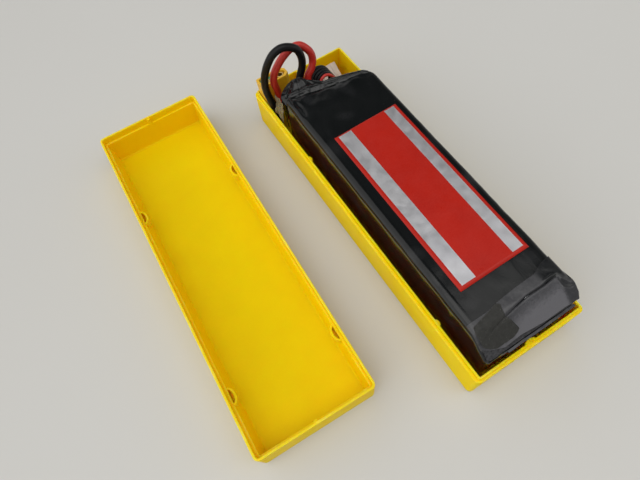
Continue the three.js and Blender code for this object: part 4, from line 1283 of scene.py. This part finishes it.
LIP_EDGE = [
    (0.0230, 0.0606, 0.0396), (0.0220, 0.0613, 0.0401), (0.0142, 0.0641, 0.0403),
    (0.0076, 0.0661, 0.0404), (0.0022, 0.0669, 0.0408), (-0.0010, 0.0679, 0.0411),
    (-0.0030, 0.0691, 0.0414),
]
LIP_ROOT = [
    (0.0226, 0.0576, 0.0396), (0.0216, 0.0582, 0.0400), (0.0142, 0.0598, 0.0400),
    (0.0076, 0.0612, 0.0400), (0.0022, 0.0624, 0.0400), (-0.0010, 0.0631, 0.0400),
    (-0.0030, 0.0635, 0.0400),
]
LIP_SKIRT = [0.0020, 0.0020, 0.0022, 0.0024, 0.0028, 0.0030, 0.0030]
DRAWN_ROWS = 34
SKIRT_ROWS = 22
DRAWN_COLUMNS = 110
DRAWN_THICK = 0.0003
DRAWN_RISE = 0.0004
DRAWN_CURL = 0.0003
SKIRT_SWELL = 0.0005
SKIRT_TUCK = 0.0016
DRAWN_ROLLS = [((1, 1, 0.35), 0.0045, 6, 0.0004), ((1, 1, 0.5), 0.0019, 7, 0.00011)]
UPPER_POINT = (5, 20)
DRAWN_SCUFF = (0.004, 8, 0.3)
DRAWN_SCUFF_MOST = 0.08
HOOD_FOLDS = [
    ([(-0.0100, 0.0650), (-0.0102, 0.0710), (-0.0104, 0.0760)], (0.0005, 0.0007), 0.0010),
    ([(-0.0150, 0.0660), (-0.0130, 0.0715), (-0.0116, 0.0762)], (-0.0004, -0.0007), 0.0009),
    ([(-0.0200, 0.0690), (-0.0160, 0.0725), (-0.0130, 0.0762)], (0.0006, 0.0005), 0.0010),
    ([(-0.0225, 0.0705), (-0.0195, 0.0728), (-0.0165, 0.0755)], (-0.0005, -0.0005), 0.0008),
    ([(-0.0200, 0.0700), (-0.0100, 0.0683), (-0.0035, 0.0662)], (0.0006, 0.0005), 0.0006),
    ([(-0.0060, 0.0655), (-0.0070, 0.0690), (-0.0085, 0.0720)], (-0.0004, -0.0005), 0.0008),
]
LIP_FOLDS = [
    ([(0.0225, 0.0592), (0.0142, 0.0614), (0.0076, 0.0630), (0.0022, 0.0642), (-0.0030, 0.0656)],
     (0.0002, 0.0005), 0.0006),
    ([(0.0225, 0.0602), (0.0142, 0.0626), (0.0076, 0.0643), (0.0022, 0.0655), (-0.0030, 0.0672)],
     (-0.0002, -0.0005), 0.0005),
]

# Loose film: where it lies along, up and across the case, its slant and lean, and its crumples
LOOSE_REACH = (0.0692, 0.0786)
LOOSE_LOW = 0.0235
LOOSE_TALL = 0.0130
LOOSE_SLANT = 0.10
LOOSE_LEFT = -0.0268
LOOSE_LEAN = 0.0020
LOOSE_CRUMPLES = [(0.0036, 21, 0.0007), (0.0014, 22, 0.0003)]
LOOSE_WAVE = (0.0030, 23, 0.0009)
LOOSE_THICK = 0.00012
LOOSE_ROWS = 52
LOOSE_COLUMNS = 48


def resampled(points, count):
    """Evenly counted points on a smooth curve through the given ones."""
    table = np.array([tuple(sample) for sample in route_samples(points)])
    along = distances(table)
    wanted = np.linspace(0.0, along[-1], count)
    return np.stack([np.interp(wanted, along, table[:, axis]) for axis in range(3)], axis=-1)


def drawn_film(name, edge, root, skirt, folds, slot, *nodes):
    """Film from a root line on the sleeve up to a free edge, and down from there as a skirt."""
    skirt = np.interp(np.linspace(0, 1, DRAWN_COLUMNS), np.linspace(0, 1, len(skirt)), skirt)
    edge = resampled(edge, DRAWN_COLUMNS)
    root = resampled(root, DRAWN_COLUMNS)
    outward = edge - root
    outward[:, 2] = 0
    outward /= np.linalg.norm(outward, axis=1)[:, None]
    rows = []
    for row in range(DRAWN_ROWS):
        t = row / (DRAWN_ROWS - 1)
        line = root * (1 - t) + edge * t
        line[:, 2] += math.sin(math.pi * t) * DRAWN_RISE - DRAWN_CURL * t ** 6
        rows.append(line)
    for row in range(1, SKIRT_ROWS + 1):
        t = row / SKIRT_ROWS
        line = edge.copy()
        line[:, 2] -= DRAWN_CURL + skirt * t
        line += outward * (SKIRT_SWELL * math.sin(min(1.0, 4 * t) * math.pi / 2) - SKIRT_TUCK * t)
        rows.append(line)
    points = np.vstack(rows)
    film = piece_of(name, points, grid_faces(len(rows), DRAWN_COLUMNS), [FILM])
    normals = np.array([vertex.normal[:] for vertex in film.data.vertices])
    row, column = UPPER_POINT
    if normals[row * DRAWN_COLUMNS + column][2] < 0:
        film.data.flip_normals()
        normals = -normals
    upper = smooth_step(normals[:, 2] * 2)
    push = crease_field(points[:, 0], points[:, 1], folds) * upper
    for stretch, size, seed, height in DRAWN_ROLLS:
        push += rolled(points * np.array(stretch), size, seed, height)
    film.data.vertices.foreach_set("co", (points + normals * push[:, None]).reshape(-1))
    scuff = np.clip(rolled(points, *DRAWN_SCUFF), 0.0, DRAWN_SCUFF_MOST)
    paint_points(film.data, "scuff", scuff)
    thickened(film, DRAWN_THICK, -1)
    carried(film, "battery_pack", slot, *nodes)


def make_loose_film():
    """Crumpled end of clear film that hangs beside the hood, between the pack and the case's wall."""
    y, share = np.meshgrid(np.linspace(*LOOSE_REACH, LOOSE_COLUMNS), np.linspace(0.0, 1.0, LOOSE_ROWS))
    middle = sum(LOOSE_REACH) / 2
    z = LOOSE_LOW + LOOSE_TALL * share + LOOSE_SLANT * (middle - y) * share
    x = LOOSE_LEFT + LOOSE_LEAN * share
    points = as_points(x, y, z)
    x = x + sum(rolled(points, *crumple) for crumple in LOOSE_CRUMPLES).reshape(x.shape)
    z = z + rolled(points, *LOOSE_WAVE).reshape(x.shape)
    film_sheet("loose_film", x, y, z, LOOSE_THICK, [CLEAR], "sleeve_black")


def make_hood():
    drawn_film("lead_hood", HOOD_EDGE, HOOD_ROOT, HOOD_SKIRT, HOOD_FOLDS, "boot_black", "lead_boot")
    drawn_film("far_lip", LIP_EDGE, LIP_ROOT, LIP_SKIRT, LIP_FOLDS, "sleeve_black")


def dress_nodes():
    """Materials for the CAD nodes that show as they are."""
    finishes = {"end_pad": FOAM, "end_board": BOARD}
    for index in range(1, 5):
        finishes["pouch_cell_%d" % index] = FOIL
    for node, material in finishes.items():
        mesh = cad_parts[node].data
        mesh.materials.clear()
        mesh.materials.append(material)


def make_floor():
    marks = [(-1 + 2 * index / TABLE_CELLS) * TABLE_HALF for index in range(TABLE_CELLS + 1)]
    points = [(x, y, -TABLE_DROP) for y in marks for x in marks]
    floor = piece_of("table", points, grid_faces(len(marks), len(marks)), [pale_table()])


def make_ceiling():
    data = bpy.data.lights.new("ceiling", "AREA")
    data.shape = "RECTANGLE"
    data.size, data.size_y = CEILING_SIZE
    data.energy = CEILING_POWER
    data.color = CEILING_COLOR
    light = bpy.data.objects.new("ceiling", data)
    light.location = CEILING_PLACE
    aim = Vector(CEILING_AIM) - Vector(CEILING_PLACE)
    light.rotation_euler = aim.to_track_quat("-Z", "Y").to_euler()
    bpy.context.scene.collection.objects.link(light)


def make_sky():
    """Soft light, its level set along each axis, and dimmed round a few directions."""
    world = bpy.data.worlds.new("studio")
    sky = Nodes(world)
    where = sky.node("ShaderNodeTexCoord").outputs["Generated"]
    squared = sky.vector("MULTIPLY", "Vector", where, where)
    strength = sky.vector("DOT_PRODUCT", "Value", squared, SKY_LEVELS)
    for direction, inner, outer, depth in SKY_DIMS:
        facing = sky.vector("DOT_PRODUCT", "Value", where, Vector(direction).normalized())
        limits = (math.cos(math.radians(outer)), math.cos(math.radians(inner)))
        fade = sky.span(facing, *limits, 1.0, 1.0 - depth, "SMOOTHSTEP")
        strength = sky.times(strength, fade)
    background = sky.tree.nodes["Background"]
    sky.feed(background.inputs["Color"], (*SKY_COLOR, 1))
    sky.feed(background.inputs["Strength"], strength)
    bpy.context.scene.world = world


make_camera()

YELLOW = yellow_plastic()
FILM = sleeve_film()
RED_PRINT = label_red()
SILVER_PRINT = label_silver()
TAPE = cloth_tape()
SILICONE_BLACK = silicone(
    "silicone_black", (0.0032, 0.0032, 0.0040), (0.0052, 0.0052, 0.0062), (0.03, 0.03, 0.034), 0.22,
)
SILICONE_RED = silicone(
    "silicone_red", (0.56, 0.026, 0.016), (0.44, 0.018, 0.012), (0.62, 0.14, 0.10),
)
AMBER = moulded("connector_amber", (0.80, 0.47, 0.012), (0.70, 0.40, 0.012), 0.38)
GREEN = moulded("insert_green", (0.02, 0.20, 0.09), (0.03, 0.26, 0.12), 0.42)
# The plug's white is painted darker and warmer: painted shade and painted yellow bounce light
WHITE_WITH_PAINTED_SHADE = moulded("plug_white", (0.60, 0.50, 0.42), (0.53, 0.44, 0.37), 0.45)
GOLD = metal("contact_gold", (0.80, 0.56, 0.20), (0.70, 0.48, 0.18), 0.26, 0.00002)
FOIL = metal("cell_foil", (0.66, 0.67, 0.69), (0.58, 0.59, 0.61), 0.34, 0.0003)
FOAM = foam()
CLEAR = clear_film()
BOARD = circuit_board()

SMALL_PARTS = [
    ("connector_body", "connector_housing", 0.00025, AMBER, "connector_amber"),
    ("connector_insert", "connector_key", 0.00015, GREEN, "insert_green"),
    ("contact_left", "contact_pin_left", 0.00012, GOLD, "contact_gold"),
    ("contact_right", "contact_pin_right", 0.00012, GOLD, "contact_gold"),
]
connector = [eased(*part) for part in SMALL_PARTS]
balance = eased("balance_plug", "balance_housing", 0.0002, WHITE_WITH_PAINTED_SHADE, "plug_white")

make_cord("lead_black", "main_lead_black", LEAD_BLACK_ROUTE, LEAD_DIAMETER, SILICONE_BLACK,
          "silicone_black")
make_cord("lead_red", "main_lead_red", LEAD_RED_ROUTE, LEAD_DIAMETER, SILICONE_RED,
          "silicone_red")
for index in range(WIRE_COUNT):
    last = index == WIRE_COUNT - 1
    make_cord(
        "thin_wire_%d" % (index + 1), "balance_wire_%d" % (index + 1), wire_route(index),
        WIRE_DIAMETER, SILICONE_RED if last else SILICONE_BLACK,
        "silicone_red" if last else "silicone_black",
    )

carried(crisp(make_base_tray(), TRAY_SHARP), "base", "case_yellow", "base_tray")
carried(crisp(make_cover_tray(), TRAY_SHARP), "cover", "case_yellow", "cover_tray")
make_sleeve()
make_label()
make_flap()
make_seam()
make_tape()
make_hood()
make_loose_film()
dress_nodes()
make_floor()
make_sky()
make_ceiling()
bpy.context.scene.view_settings.view_transform = "Standard"
